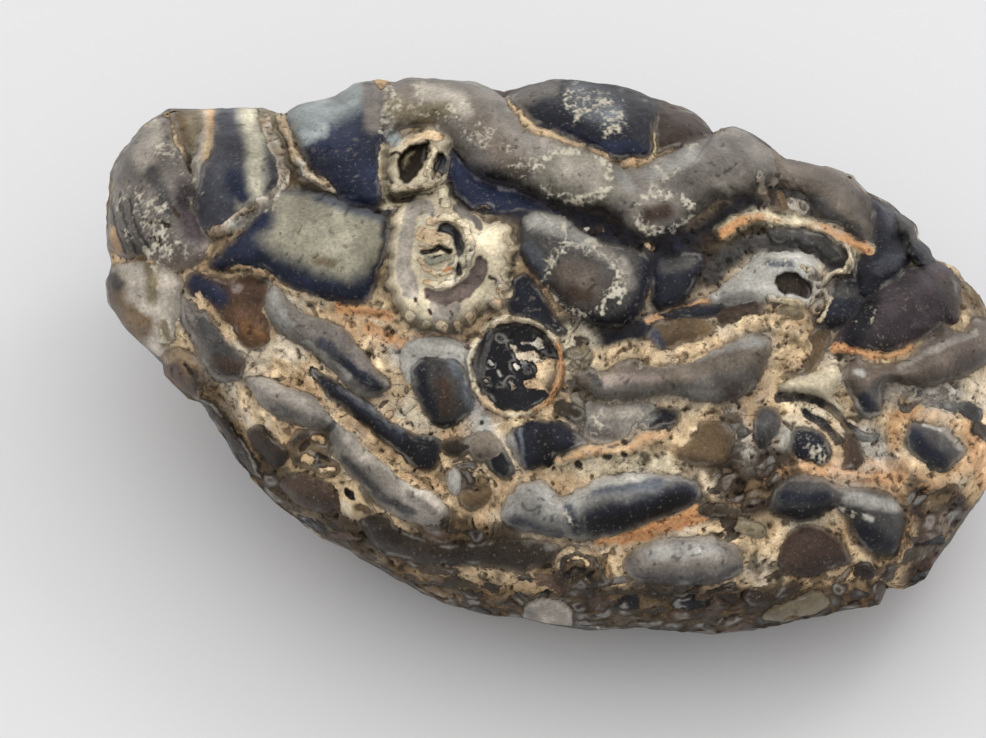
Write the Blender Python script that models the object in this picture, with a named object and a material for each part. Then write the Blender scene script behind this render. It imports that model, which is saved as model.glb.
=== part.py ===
"""A chalcedony nodule, one natural stone: rounded swellings packed side by side, the hollows
between them filled with crumbly crust. Metres, +Z up, at its real size, lying on its flattest side."""

import itertools
import math

import bmesh
import bpy
import numpy as np

NAME = "agate_nodule"
MM = 0.001

# The driving sizes, in millimetres.
LENGTH = 95.0
HALF_THICKNESS = 22.0
FLOOR_CUT = 1.8
FLOOR_SNAP = 0.2

# How fine the solid is. The seen face keeps more of its faces than the rest.
BALL_SUBDIVISIONS = 7
FACE_COUNT = 9600
SEEN_COARSENESS = 0.7
UNSEEN_COARSENESS = 1.0
COARSENESS_FACTOR = 0.01

# How the stone's plain form fills its outline: near 1 is a ball, less is a fuller pillow. The
# smoothed outline takes on the exact one towards the rim, on the unseen side only at its very edge.
FULLNESS = 0.9
OUTLINE_SAMPLES = 720
SMOOTH_WAVES = 9
SEEN_RIM_POWER = 6
UNSEEN_RIM_POWER = 20

# How round the swellings are, how steep a hollow's wall is in millimetres, and the greatest slant
# at which a swelling still stands to its full height along the line of sight.
DOME_POWER = 0.8
HOLLOW_SHOULDER = 0.6
GREATEST_SLANT = 0.5

# The seen face is laid out as it looks from VIEW_DISTANCE, VIEW_TILT degrees above the horizon.
VIEW_TILT = 50.0
VIEW_DISTANCE = 500.0
LEAN = 0.367

# The outline and the swellings are read off the picture, in its pixels.
PIXEL_MIDDLE = (550.0, 355.0)
PIXEL_LENGTH = 901.0
MM_PER_PIXEL = LENGTH / PIXEL_LENGTH

SILHOUETTE = [
    (102, 225), (105, 200), (107, 180), (117, 160), (138, 130), (165, 113), (190, 114), (222, 113),
    (258, 110), (272, 115), (280, 116), (294, 108), (320, 104), (332, 100), (352, 87), (378, 83),
    (390, 85), (407, 79), (450, 81), (472, 83), (490, 91), (500, 98), (521, 86), (549, 79),
    (575, 82), (610, 87), (650, 99), (690, 111), (700, 119), (710, 131), (718, 124), (730, 122),
    (752, 131), (783, 153), (820, 160), (850, 171), (864, 189), (890, 202), (913, 218), (914, 234),
    (928, 244), (930, 252), (951, 258), (972, 280), (986, 305), (997, 335), (1003, 390), (1001, 440),
    (990, 480), (964, 508), (943, 540), (927, 572), (905, 583), (891, 580), (884, 599), (850, 607),
    (800, 617), (750, 625), (707, 628), (640, 625), (564, 626), (524, 618), (491, 616), (459, 606),
    (412, 581), (356, 555), (303, 524), (277, 506), (258, 489), (239, 465), (226, 446), (209, 421),
    (200, 407), (189, 403), (165, 379), (163, 367), (155, 359), (131, 339), (107, 310), (103, 290),
    (110, 270), (104, 250),
]

# Each swelling of the seen face: height and width of its shoulder in millimetres, then its outline.
SWELLINGS = {
    "left dome": (2.6, 5.0, [
        (98, 215), (104, 180), (122, 148), (148, 124), (164, 122), (170, 145), (182, 165), (190, 192),
        (193, 215), (204, 236), (214, 250), (204, 262), (186, 273), (165, 272), (145, 262), (120, 262),
        (102, 250)]),
    "lower left dome": (2.2, 4.0, [
        (98, 292), (106, 276), (120, 268), (150, 268), (178, 282), (180, 300), (176, 325), (172, 345),
        (160, 360), (143, 354), (122, 338), (104, 314)]),
    "olive wedge": (1.6, 2.0, [
        (162, 116), (172, 108), (190, 110), (192, 125), (184, 142), (186, 155), (178, 150), (170, 136)]),
    "tan wedge": (1.3, 1.8, [
        (192, 112), (208, 112), (210, 130), (210, 150), (202, 165), (196, 190), (188, 190), (184, 165),
        (188, 145), (194, 130)]),
    "grey bluff": (2.8, 3.2, [
        (210, 110), (232, 106), (252, 108), (256, 128), (268, 145), (278, 165), (281, 184), (270, 198),
        (262, 210), (244, 222), (225, 238), (212, 241), (200, 232), (194, 215), (192, 195), (198, 175),
        (210, 152)]),
    "brown wedge": (1.2, 1.5, [
        (256, 108), (272, 112), (276, 130), (282, 152), (292, 172), (299, 192), (288, 194), (280, 188),
        (280, 175), (270, 150), (262, 132)]),
    "blue bluff": (3.0, 3.6, [
        (283, 112), (300, 104), (330, 96), (352, 84), (366, 82), (378, 95), (384, 130), (382, 165),
        (380, 200), (370, 208), (345, 204), (325, 194), (308, 178), (302, 160), (290, 140)]),
    "cloud lobe": (3.4, 5.0, [
        (270, 198), (290, 192), (320, 195), (345, 206), (372, 214), (386, 222), (386, 245), (378, 275),
        (370, 298), (352, 306), (325, 303), (300, 295), (275, 283), (245, 276), (225, 276), (206, 268),
        (222, 252), (236, 240), (250, 224), (262, 212)]),
    "arch": (4.0, 4.8, [
        (376, 92), (390, 82), (410, 77), (450, 78), (478, 82), (496, 93), (506, 104), (520, 124),
        (545, 135), (575, 145), (600, 155), (615, 162), (640, 163), (660, 155), (690, 140), (716, 130),
        (722, 120), (740, 122), (760, 135), (775, 148), (775, 165), (765, 178), (745, 188), (715, 198),
        (690, 215), (672, 232), (650, 238), (630, 232), (605, 212), (575, 205), (545, 202), (525, 192),
        (500, 182), (478, 175), (462, 160), (450, 150), (440, 136), (425, 128), (400, 128), (385, 135),
        (380, 118)]),
    "big shoulder": (3.6, 5.0, [
        (740, 122), (765, 136), (783, 149), (820, 157), (850, 166), (867, 188), (872, 205), (870, 225),
        (866, 240), (850, 232), (830, 222), (812, 212), (806, 195), (790, 185), (778, 180), (770, 165),
        (755, 150)]),
    "slate flank": (2.2, 3.5, [
        (866, 188), (890, 200), (904, 212), (904, 236), (912, 250), (900, 268), (885, 280), (868, 295),
        (854, 290), (850, 262), (858, 250), (868, 240), (870, 215)]),
    "upper knob": (2.6, 1.6, [
        (890, 200), (902, 206), (915, 214), (918, 226), (910, 236), (898, 234), (890, 220)]),
    "lower knob": (2.4, 1.6, [
        (905, 238), (918, 234), (930, 242), (933, 254), (920, 260), (908, 254)]),
    "navy shelf": (0.9, 2.0, [
        (444, 150), (455, 158), (470, 172), (490, 184), (515, 190), (545, 205), (560, 212), (540, 212),
        (515, 212), (490, 216), (470, 208), (452, 190), (446, 170)]),
    "top lobe": (2.6, 4.0, [
        (504, 98), (522, 83), (549, 76), (575, 78), (610, 84), (640, 92), (653, 100), (650, 125),
        (649, 150), (640, 157), (612, 156), (590, 148), (570, 138), (552, 130), (535, 124), (520, 110)]),
    "top knob": (1.8, 3.0, [
        (655, 100), (672, 102), (690, 108), (704, 118), (712, 131), (698, 136), (680, 145), (662, 148),
        (655, 150), (652, 130)]),
    "bored tube": (2.2, 1.2, [
        (388, 165), (390, 150), (402, 140), (425, 128), (440, 136), (450, 148), (444, 165), (440, 182),
        (430, 192), (412, 197), (394, 190), (385, 176)]),
    "rosette": (3.0, 1.6, [
        (388, 232), (400, 212), (418, 203), (436, 197), (450, 206), (466, 216), (482, 224), (500, 224),
        (509, 232), (512, 250), (510, 278), (497, 306), (480, 312), (470, 322), (462, 330), (440, 330),
        (420, 328), (402, 312), (396, 296), (388, 284), (385, 262)]),
    "crowned lobe": (3.4, 5.0, [
        (517, 245), (518, 226), (526, 212), (545, 210), (565, 218), (582, 232), (605, 241), (630, 246),
        (648, 254), (650, 272), (647, 292), (638, 312), (622, 326), (600, 326), (578, 317), (558, 303),
        (542, 284), (526, 266)]),
    "dark wedge": (1.0, 2.0, [
        (503, 300), (508, 285), (516, 275), (525, 272), (536, 284), (548, 302), (558, 318), (566, 334),
        (548, 334), (530, 322), (512, 314)]),
    "night lobe": (1.7, 2.5, [
        (652, 262), (664, 252), (682, 249), (699, 248), (702, 262), (694, 280), (680, 298), (665, 305),
        (652, 300), (650, 282)]),
    "hood": (1.4, 1.6, [
        (764, 226), (785, 222), (810, 226), (830, 236), (843, 250), (838, 257), (822, 256), (806, 244),
        (790, 238), (772, 240)]),
    "tongue": (1.9, 1.8, [
        (706, 296), (722, 282), (738, 268), (752, 255), (775, 249), (800, 250), (815, 258), (818, 268),
        (800, 262), (785, 266), (770, 278), (772, 290), (750, 298), (725, 302)]),
    "olive bead": (1.2, 1.0, [
        (777, 306), (788, 297), (799, 302), (802, 312), (790, 318), (779, 315)]),
    "black cell": (1.0, 1.5, [
        (810, 308), (820, 300), (835, 295), (852, 298), (856, 312), (845, 322), (828, 325), (812, 318)]),
    "plum lobe": (2.8, 4.4, [
        (832, 338), (842, 320), (858, 300), (875, 282), (895, 268), (915, 258), (935, 255), (950, 262),
        (958, 280), (961, 300), (955, 316), (940, 318), (925, 332), (905, 342), (885, 348), (862, 348),
        (845, 344)]),
    "bent tube": (3.0, 3.0, [
        (843, 375), (845, 362), (856, 355), (875, 358), (900, 356), (918, 342), (930, 328), (942, 318),
        (960, 326), (975, 310), (996, 318), (1000, 345), (978, 362), (958, 372), (930, 380), (905, 378),
        (886, 378), (882, 395), (882, 408), (866, 413), (854, 402), (850, 388)]),
    "brown eye": (1.2, 2.0, [
        (643, 335), (655, 320), (680, 316), (702, 317), (716, 324), (702, 334), (686, 343), (664, 349),
        (648, 345)]),
    "slate lens": (0.9, 1.0, [
        (660, 313), (680, 304), (706, 299), (728, 303), (716, 312), (690, 316)]),
    "olive chip": (0.9, 1.2, [
        (715, 306), (736, 298), (754, 295), (763, 308), (756, 319), (738, 322), (722, 324)]),
    "long tube": (3.0, 3.6, [
        (577, 374), (588, 366), (606, 368), (622, 359), (645, 358), (668, 361), (690, 352), (720, 340),
        (742, 332), (762, 330), (772, 342), (766, 360), (758, 378), (744, 393), (720, 399), (698, 398),
        (670, 392), (648, 396), (622, 398), (602, 398), (588, 388)]),
    "speckled lobe": (1.4, 2.2, [
        (585, 398), (610, 398), (640, 398), (668, 400), (645, 414), (636, 430), (620, 440), (595, 448),
        (580, 440), (580, 420)]),
    "ribbed lens": (0.8, 1.2, [
        (640, 420), (650, 410), (668, 405), (682, 408), (678, 420), (665, 430), (648, 432)]),
    "veil": (1.1, 1.6, [
        (404, 350), (420, 340), (450, 342), (468, 352), (474, 375), (484, 398), (492, 412), (480, 425),
        (450, 433), (425, 430), (410, 410), (402, 385), (400, 365)]),
    "veiled lobe": (2.1, 2.4, [
        (413, 378), (416, 365), (426, 358), (442, 355), (456, 358), (466, 367), (471, 382), (476, 398),
        (470, 412), (458, 424), (446, 425), (433, 416), (424, 402), (416, 390)]),
    "navy eye": (1.6, 2.2, [
        (508, 442), (512, 430), (527, 423), (545, 420), (562, 422), (580, 432), (590, 442), (584, 452),
        (568, 453), (558, 462), (542, 467), (526, 468), (516, 455)]),
    "twin lobe": (3.0, 3.4, [
        (504, 514), (510, 500), (520, 486), (540, 479), (553, 486), (562, 496), (578, 490), (600, 477),
        (625, 471), (660, 471), (690, 475), (704, 486), (702, 495), (688, 506), (665, 516), (642, 524),
        (620, 535), (600, 539), (575, 538), (545, 534), (522, 530), (509, 524)]),
    "grey egg": (3.0, 3.6, [
        (627, 568), (628, 556), (640, 545), (658, 537), (685, 534), (712, 532), (732, 539), (744, 550),
        (746, 562), (738, 573), (715, 580), (685, 583), (655, 583), (636, 579)]),
    "brown block": (1.0, 1.0, [
        (700, 421), (728, 420), (733, 436), (730, 455), (716, 462), (700, 464), (685, 459), (677, 451),
        (690, 440), (698, 432)]),
    "slate bead": (1.4, 1.6, [
        (755, 415), (758, 405), (770, 402), (780, 410), (781, 422), (773, 436), (765, 446), (757, 440),
        (754, 428)]),
    "gravel lobe": (1.4, 1.8, [
        (793, 426), (805, 421), (820, 427), (830, 440), (832, 452), (824, 462), (808, 459), (796, 449),
        (791, 438)]),
    "crescent": (1.1, 1.2, [
        (838, 428), (850, 432), (857, 446), (853, 461), (845, 466), (837, 455), (842, 443)]),
    "cream fan": (1.2, 1.8, [
        (778, 385), (795, 373), (818, 366), (836, 360), (843, 370), (838, 382), (832, 392), (845, 405),
        (838, 408), (822, 396), (800, 391)]),
    "brown seam": (0.8, 1.2, [
        (784, 373), (796, 360), (806, 345), (813, 325), (824, 322), (829, 335), (825, 350), (815, 365),
        (800, 374)]),
    "ringed egg": (1.7, 2.2, [
        (904, 428), (910, 417), (926, 416), (946, 422), (961, 434), (966, 446), (957, 457), (946, 465),
        (930, 463), (915, 453), (906, 441)]),
    "edge bead": (0.9, 1.0, [
        (924, 401), (940, 394), (956, 396), (958, 405), (946, 411), (930, 409)]),
    "bent bean": (2.8, 3.2, [
        (771, 504), (774, 490), (784, 478), (800, 470), (822, 472), (838, 480), (858, 483), (878, 483),
        (894, 488), (904, 500), (907, 516), (905, 532), (897, 546), (884, 550), (869, 544), (857, 530),
        (848, 514), (840, 503), (828, 507), (815, 515), (798, 517), (782, 513)]),
    "umber lobe": (1.8, 2.4, [
        (781, 560), (783, 545), (793, 529), (804, 522), (825, 521), (838, 530), (850, 545), (854, 558),
        (840, 563), (820, 570), (800, 573), (788, 568)]),
    "lower umber": (0.9, 1.2, [
        (747, 592), (758, 587), (775, 591), (785, 582), (800, 577), (805, 583), (790, 592), (778, 602),
        (762, 605), (750, 601)]),
    "olive foot": (1.4, 2.0, [
        (764, 614), (780, 600), (800, 592), (820, 587), (832, 594), (826, 604), (806, 612), (782, 618)]),
    "amber lobe": (1.7, 2.2, [
        (183, 286), (191, 277), (210, 279), (228, 284), (242, 279), (262, 280), (269, 288), (264, 300),
        (262, 312), (268, 332), (267, 346), (257, 351), (246, 350), (232, 340), (216, 322), (201, 304),
        (188, 297)]),
    "slug": (2.2, 2.4, [
        (177, 312), (182, 303), (192, 308), (198, 316), (208, 318), (222, 335), (240, 352), (246, 366),
        (242, 380), (230, 386), (215, 384), (203, 370), (195, 352), (186, 338), (180, 328)]),
    "blue slope": (2.0, 2.4, [
        (264, 296), (275, 290), (286, 302), (305, 316), (325, 322), (345, 330), (358, 350), (376, 370),
        (389, 384), (381, 398), (364, 400), (345, 386), (320, 363), (296, 346), (274, 332), (266, 314)]),
    "long sausage": (2.5, 2.4, [
        (245, 383), (262, 380), (290, 391), (315, 400), (332, 410), (345, 430), (365, 450), (385, 468),
        (405, 478), (425, 490), (443, 503), (450, 517), (440, 521), (415, 516), (395, 505), (375, 488),
        (358, 472), (345, 460), (335, 445), (327, 432), (305, 428), (283, 425), (266, 413), (254, 398)]),
    "dark channel": (1.0, 1.6, [
        (309, 369), (320, 384), (340, 400), (360, 410), (382, 421), (400, 430), (410, 440), (428, 439),
        (441, 443), (441, 460), (431, 473), (417, 471), (398, 455), (375, 440), (355, 426), (340, 412),
        (325, 400), (312, 386)]),
    "pale block": (1.3, 2.0, [
        (385, 385), (405, 378), (412, 395), (420, 412), (432, 428), (435, 438), (415, 438), (395, 422),
        (370, 410), (372, 398)]),
    "cell one": (0.9, 1.0, [
        (442, 443), (455, 439), (470, 442), (473, 450), (463, 458), (450, 457), (444, 452)]),
    "cell two": (1.3, 1.4, [
        (466, 440), (478, 433), (490, 431), (500, 440), (504, 455), (490, 463), (475, 461), (468, 450)]),
    "cell three": (1.0, 1.2, [
        (488, 455), (500, 446), (510, 456), (516, 470), (505, 479), (493, 473), (487, 463)]),
    "cell four": (1.1, 1.0, [
        (449, 474), (457, 469), (464, 478), (462, 490), (455, 495), (448, 486)]),
    "cell five": (1.1, 1.2, [
        (461, 492), (470, 487), (480, 490), (491, 487), (491, 498), (481, 508), (470, 511), (460, 502)]),
    "flank slug": (1.3, 1.2, [
        (198, 402), (212, 406), (226, 420), (240, 440), (252, 458), (266, 482), (252, 476), (238, 458),
        (222, 438), (206, 418)]),
    "flank bead": (1.2, 1.4, [
        (250, 434), (262, 429), (274, 440), (287, 450), (289, 463), (278, 471), (265, 463), (254, 450)]),
    "ringed knot": (1.3, 1.6, [
        (290, 445), (300, 434), (316, 430), (330, 437), (337, 455), (338, 470), (328, 478), (310, 474),
        (296, 464)]),
    "flank lobe": (1.3, 1.6, [
        (282, 487), (294, 477), (315, 479), (335, 489), (342, 505), (326, 515), (305, 511), (290, 501)]),
    "bored end": (1.5, 1.4, [
        (340, 497), (348, 484), (361, 485), (371, 500), (376, 513), (362, 523), (350, 519), (342, 509)]),
    "dark flank": (1.5, 2.2, [
        (364, 521), (385, 514), (400, 528), (425, 538), (450, 545), (480, 542), (515, 538), (550, 542),
        (568, 552), (545, 566), (510, 572), (480, 566), (440, 566), (400, 560), (375, 545)]),
    "ringed pocket": (1.3, 1.6, [
        (556, 560), (562, 547), (582, 544), (602, 551), (612, 566), (612, 580), (595, 588), (572, 588),
        (558, 577)]),
    "pale foot": (1.3, 1.6, [
        (526, 606), (545, 598), (565, 600), (576, 610), (574, 626), (550, 629), (530, 624)]),
    "left pocket": (1.3, 1.6, [
        (160, 362), (171, 354), (190, 355), (201, 366), (203, 385), (200, 404), (188, 400), (173, 388),
        (162, 376)]),
}

# Raised veins between the swellings: height and half width in millimetres, then their line.
VEINS = {
    "orange vein": (1.5, 0.55, [
        (277, 114), (281, 130), (287, 150), (298, 166), (310, 182), (322, 188), (330, 196)]),
    "top vein": (1.6, 0.45, [
        (503, 99), (515, 112), (530, 127), (550, 134), (575, 144), (600, 153), (612, 160), (630, 161),
        (646, 158), (651, 148), (651, 133)]),
    "hood vein": (1.8, 0.60, [
        (720, 229), (735, 218), (757, 211), (775, 216), (800, 219), (822, 222), (845, 234), (868, 243)]),
    "upper left vein": (1.2, 0.60, [
        (228, 276), (250, 273), (268, 278), (288, 291), (310, 300), (335, 306), (365, 310), (395, 316)]),
    "left vein": (1.0, 0.60, [
        (196, 300), (213, 320), (232, 342), (250, 357), (275, 360), (305, 372), (325, 392), (345, 412),
        (365, 432), (390, 452), (415, 473), (440, 486), (455, 505)]),
    "middle vein": (1.2, 0.55, [
        (560, 460), (590, 451), (620, 448), (645, 437), (665, 432)]),
    "rust vein": (1.0, 0.70, [
        (600, 540), (625, 533), (650, 525), (672, 517), (700, 507)]),
    "plum vein": (1.0, 0.50, [
        (835, 346), (860, 350), (885, 352), (912, 345)]),
    "bean rim": (1.2, 0.60, [
        (768, 480), (785, 467), (810, 463), (840, 470), (875, 472), (900, 480), (912, 500), (912, 530),
        (898, 554), (878, 556), (858, 546), (846, 524), (838, 512)]),
    "egg rim": (1.2, 0.90, [
        (896, 432), (904, 408), (928, 406), (952, 414), (974, 430), (976, 450), (960, 468), (940, 474),
        (918, 466), (902, 450), (896, 432)]),
    "loop": (1.4, 0.40, [
        (845, 243), (849, 256), (840, 266), (827, 268), (821, 280), (824, 292), (815, 304)]),
    "cream bank": (1.3, 0.90, [
        (640, 346), (660, 356), (690, 350), (720, 334), (745, 322), (770, 318), (795, 326), (805, 345),
        (792, 360)]),
}

# Hollows: depth in millimetres below what stands there, and their outline.
HOLLOWS = {
    "left slot": (2.4, [
        (397, 172), (405, 181), (412, 175), (418, 165), (424, 150), (420, 145), (413, 152), (400, 163)]),
    "right slot": (2.2, [
        (431, 158), (440, 157), (444, 166), (440, 179), (431, 178)]),
    "rosette crescent": (1.6, [
        (436, 230), (446, 226), (458, 232), (464, 246), (462, 264), (456, 270), (455, 252), (448, 238),
        (438, 236)]),
    "rosette eye": (0.7, [
        (421, 258), (432, 250), (446, 248), (450, 258), (444, 268), (430, 268)]),
    "crown basin": (0.5, [
        (546, 282), (552, 266), (568, 256), (588, 258), (604, 270), (607, 288), (598, 304), (580, 310),
        (562, 304)]),
    "dark cell": (0.9, [
        (769, 278), (778, 270), (792, 266), (803, 275), (812, 285), (808, 295), (795, 292), (778, 289)]),
    "outer band": (1.0, [
        (776, 388), (800, 389), (824, 394), (842, 410), (850, 428), (842, 424), (832, 412), (818, 402),
        (800, 398), (778, 396)]),
    "gap under the egg": (1.0, [
        (640, 588), (665, 586), (695, 586), (725, 582), (745, 574), (748, 582), (725, 594), (690, 598),
        (655, 598)]),
    "brow gap": (1.2, [
        (700, 206), (722, 196), (745, 188), (757, 196), (750, 206), (728, 214), (712, 232), (700, 246),
        (664, 244), (690, 228)]),
}

# The old borehole: its middle in the picture, the rest in millimetres.
BORE_MIDDLE = (515, 366)
BORE_RADIUS = 4.5
BORE_DEPTH = 1.5
BORE_RIM_WIDTH = 0.8
BORE_RIM_HEIGHT = 1.9
BORE_FILL_HEIGHT = 0.7
BORE_FILL_SLANT = 0.5
BORE_FILL_RISE = (0.2, 2.0)

# The rind of the sides, the back and the underside: knobs in an even spiral over the ball that the
# stone is shaped from, up to RIND_TOP on it, each shifted a little. Sizes in millimetres.
RIND_SEED = 11
RIND_KNOBS = 420
RIND_TOP = 0.3
RIND_SHIFT = 1.2
GOLDEN_TURN = math.pi * (3 - math.sqrt(5))
RIND_LENGTH = (3.4, 7.0)
RIND_WIDTH = (2.4, 3.8)
RIND_HEIGHT = (1.4, 2.6)
RIND_SINK = 1.1

# Unevenness: how high and how far across, in millimetres, and its seeds.
SWAY = 0.9
SWAY_SIZE = 11.0
SWAY_SEED = 5
ROUGHNESS = 0.12
ROUGHNESS_SIZE = 4.0
ROUGHNESS_SEED = 6
NOISE_CELLS = 32

# Where the traced face ends and the rind starts, by height on the ball that the stone is shaped
# from. The rind is calmer along the rim, and worn smooth where the underside faces down.
SEEN_EDGE = (0.04, 0.18)
UNSEEN_EDGE = (0.0, 0.16)
RIM_CALM = 0.85
RIM_WIDTH = 0.16
WORN_UNDERSIDE = (0.88, 0.97)


def smooth_line(points, closed, steps=5):
    """A Catmull-Rom curve through the points, as an array."""
    points = np.array(points, float)
    if closed:
        padded = np.vstack([points[-1:], points, points[:2]])
    else:
        padded = np.vstack([2 * points[0] - points[1], points, 2 * points[-1] - points[-2]])
    line = []
    for before, start, end, after in zip(padded, padded[1:], padded[2:], padded[3:]):
        for t in np.arange(steps) / steps:
            line.append(
                start
                + 0.5 * t * (end - before)
                + t * t * (before - 2.5 * start + 2 * end - 0.5 * after)
                + t**3 * 0.5 * (3 * start - before - 3 * end + after)
            )
    if not closed:
        line.append(points[-1])
    return np.array(line)


def to_plane(pixels):
    """Picture pixels to millimetres in the picture plane, from the stone's middle."""
    pixels = np.asarray(pixels, float)
    return np.stack(
        [pixels[..., 0] - PIXEL_MIDDLE[0], PIXEL_MIDDLE[1] - pixels[..., 1]], axis=-1
    ) * MM_PER_PIXEL


def line_distance(places, line):
    """The distance of each place from a line of points."""
    nearest = np.full(len(places), np.inf)
    for start, end in zip(line, line[1:]):
        along = end - start
        t = np.clip((places - start) @ along / max(along @ along, 1e-12), 0, 1)
        gap = places - start - t[:, None] * along
        nearest = np.minimum(nearest, np.hypot(gap[:, 0], gap[:, 1]))
    return nearest


def inside_distance(places, outline):
    """The distance of each place from a closed outline, positive inside it."""
    ring = np.vstack([outline, outline[:1]])
    inside = np.zeros(len(places), bool)
    for (x0, y0), (x1, y1) in zip(ring, ring[1:]):
        crosses = (y0 > places[:, 1]) != (y1 > places[:, 1])
        at = x0 + (places[:, 1] - y0) * (x1 - x0) / ((y1 - y0) or 1e-12)
        inside ^= crosses & (places[:, 0] < at)
    return np.where(inside, 1, -1) * line_distance(places, ring)


def dome(depth, shoulder):
    """A rounded rise from an edge to a top that starts one shoulder in."""
    t = np.clip(depth / shoulder, 0, 1)
    return np.sin(t * math.pi / 2) ** DOME_POWER


def ease(value, low, high):
    t = np.clip((value - low) / (high - low), 0, 1)
    return t * t * (3 - 2 * t)


def near(places, line, margin=0):
    """Which places lie in the box of a line, widened by a margin."""
    low = line.min(axis=0) - margin
    high = line.max(axis=0) + margin
    return np.flatnonzero(((places > low) & (places < high)).all(axis=1))


def face_relief(places):
    """How far the seen face stands out from its smooth form, in millimetres."""
    height = np.zeros(len(places))
    for rise, shoulder, pixels in SWELLINGS.values():
        outline = smooth_line(to_plane(pixels), closed=True)
        which = near(places, outline)
        swell = rise * dome(inside_distance(places[which], outline), shoulder)
        height[which] = np.maximum(height[which], swell)
    for rise, half_width, pixels in VEINS.values():
        line = smooth_line(to_plane(pixels), closed=False)
        which = near(places, line, half_width)
        swell = rise * dome(half_width - line_distance(places[which], line), half_width)
        height[which] = np.maximum(height[which], swell)
    for depth, pixels in HOLLOWS.values():
        outline = smooth_line(to_plane(pixels), closed=True)
        which = near(places, outline)
        height[which] -= depth * dome(inside_distance(places[which], outline), HOLLOW_SHOULDER)
    return borehole(places, height)


def borehole(places, height):
    """The round bore: a raised rim, a sunk floor and crust that fills its right side."""
    offset = places - to_plane(BORE_MIDDLE)
    reach = np.hypot(offset[:, 0], offset[:, 1])
    rim = BORE_RIM_HEIGHT * dome(BORE_RIM_WIDTH / 2 - abs(reach - BORE_RADIUS), BORE_RIM_WIDTH / 2)
    height = np.where(reach < BORE_RADIUS, -BORE_DEPTH, height)
    fill = ease(offset[:, 0] - BORE_FILL_SLANT * offset[:, 1], *BORE_FILL_RISE)
    height += np.where(reach < BORE_RADIUS, fill * (BORE_DEPTH + BORE_FILL_HEIGHT), 0)
    return np.maximum(height, np.where(rim > 0, rim, -BORE_DEPTH - 1))


def silhouette_radius(angles):
    """The outline's distance from the middle at each angle, and that of its smoothed form."""
    outline = to_plane(SILHOUETTE)
    around = np.arctan2(outline[:, 1], outline[:, 0])
    reach = np.hypot(outline[:, 0], outline[:, 1])
    order = np.argsort(around)
    samples = np.linspace(-math.pi, math.pi, OUTLINE_SAMPLES, endpoint=False)
    exact = np.interp(samples, around[order], reach[order], period=2 * math.pi)
    waves = np.fft.rfft(exact)
    waves[SMOOTH_WAVES:] = 0
    smooth = np.fft.irfft(waves, len(samples))
    return (
        np.interp(angles, samples, exact, period=2 * math.pi),
        np.interp(angles, samples, smooth, period=2 * math.pi),
    )


def plain_form(directions):
    """The smooth pillow, in picture-plane coordinates, and each point's place in the picture."""
    x, y, z = directions.T
    out = np.hypot(x, y)
    angles = np.arctan2(y, x)
    exact, smooth = silhouette_radius(angles)
    rim_power = np.where(z > 0, SEEN_RIM_POWER, UNSEEN_RIM_POWER)
    reach = out * (smooth + (exact - smooth) * out**rim_power)
    places = np.stack([reach * np.cos(angles), reach * np.sin(angles)], axis=1)
    depth = -LEAN * places[:, 1] + HALF_THICKNESS * np.sign(z) * abs(z) ** FULLNESS
    return places, depth


def to_world(places, depth):
    """Puts each place at its depth along the line of sight, then lays the stone on the ground."""
    tilt = math.radians(VIEW_TILT)
    across = places * (1 - depth / VIEW_DISTANCE)[:, None]
    return np.stack([
        across[:, 0],
        across[:, 1] * math.sin(tilt) - depth * math.cos(tilt),
        across[:, 1] * math.cos(tilt) + depth * math.sin(tilt),
    ], axis=1)


def vertex_normals(points, faces):
    a, b, c = points[faces].transpose(1, 0, 2)
    crossed = np.cross(b - a, c - a)
    normals = np.zeros_like(points)
    for corner in faces.T:
        np.add.at(normals, corner, crossed)
    return normals / np.linalg.norm(normals, axis=1, keepdims=True)


def rind_relief(points, normals):
    """The knobs of the sides, the back and the underside, in millimetres."""
    random = np.random.default_rng(RIND_SEED)
    steps = np.arange(RIND_KNOBS) + 0.5
    heights = 1 - 2 * steps / RIND_KNOBS
    turns = steps * GOLDEN_TURN
    out = np.sqrt(1 - heights**2)
    spiral = np.stack([out * np.cos(turns), out * np.sin(turns), heights], axis=1)
    middles = to_world(*plain_form(spiral)) + RIND_SHIFT * random.normal(size=(RIND_KNOBS, 3))
    ways = random.normal(size=(RIND_KNOBS, 3))
    lengths = random.uniform(*RIND_LENGTH, RIND_KNOBS)
    widths = random.uniform(*RIND_WIDTH, RIND_KNOBS)
    rises = random.uniform(*RIND_HEIGHT, RIND_KNOBS)
    relief = np.zeros(len(points))
    for index in np.flatnonzero(heights < RIND_TOP):
        nearest = np.argmin(((points - middles[index]) ** 2).sum(axis=1))
        outward = normals[nearest]
        along = np.cross(outward, ways[index])
        along /= np.linalg.norm(along)
        across = np.cross(outward, along)
        offset = points - points[nearest]
        far = (offset @ along / lengths[index]) ** 2 + (offset @ across / widths[index]) ** 2
        far += (offset @ outward / lengths[index]) ** 2
        depth = (1 - np.sqrt(far)) * widths[index]
        relief = np.maximum(relief, rises[index] * dome(depth, widths[index]))
    return relief


def noise(points, size, seed):
    """Smooth bumps about this many millimetres apart, from -1 to 1."""
    lattice = np.random.default_rng(seed).uniform(-1, 1, (NOISE_CELLS,) * 3)
    spot = points / size
    cell = np.floor(spot).astype(int)
    t = spot - cell
    t = t * t * (3 - 2 * t)
    total = np.zeros(len(points))
    for corner in itertools.product((0, 1), repeat=3):
        weight = np.where(corner, t, 1 - t).prod(axis=1)
        total += weight * lattice[tuple(((cell + corner) % NOISE_CELLS).T)]
    return total


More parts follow.
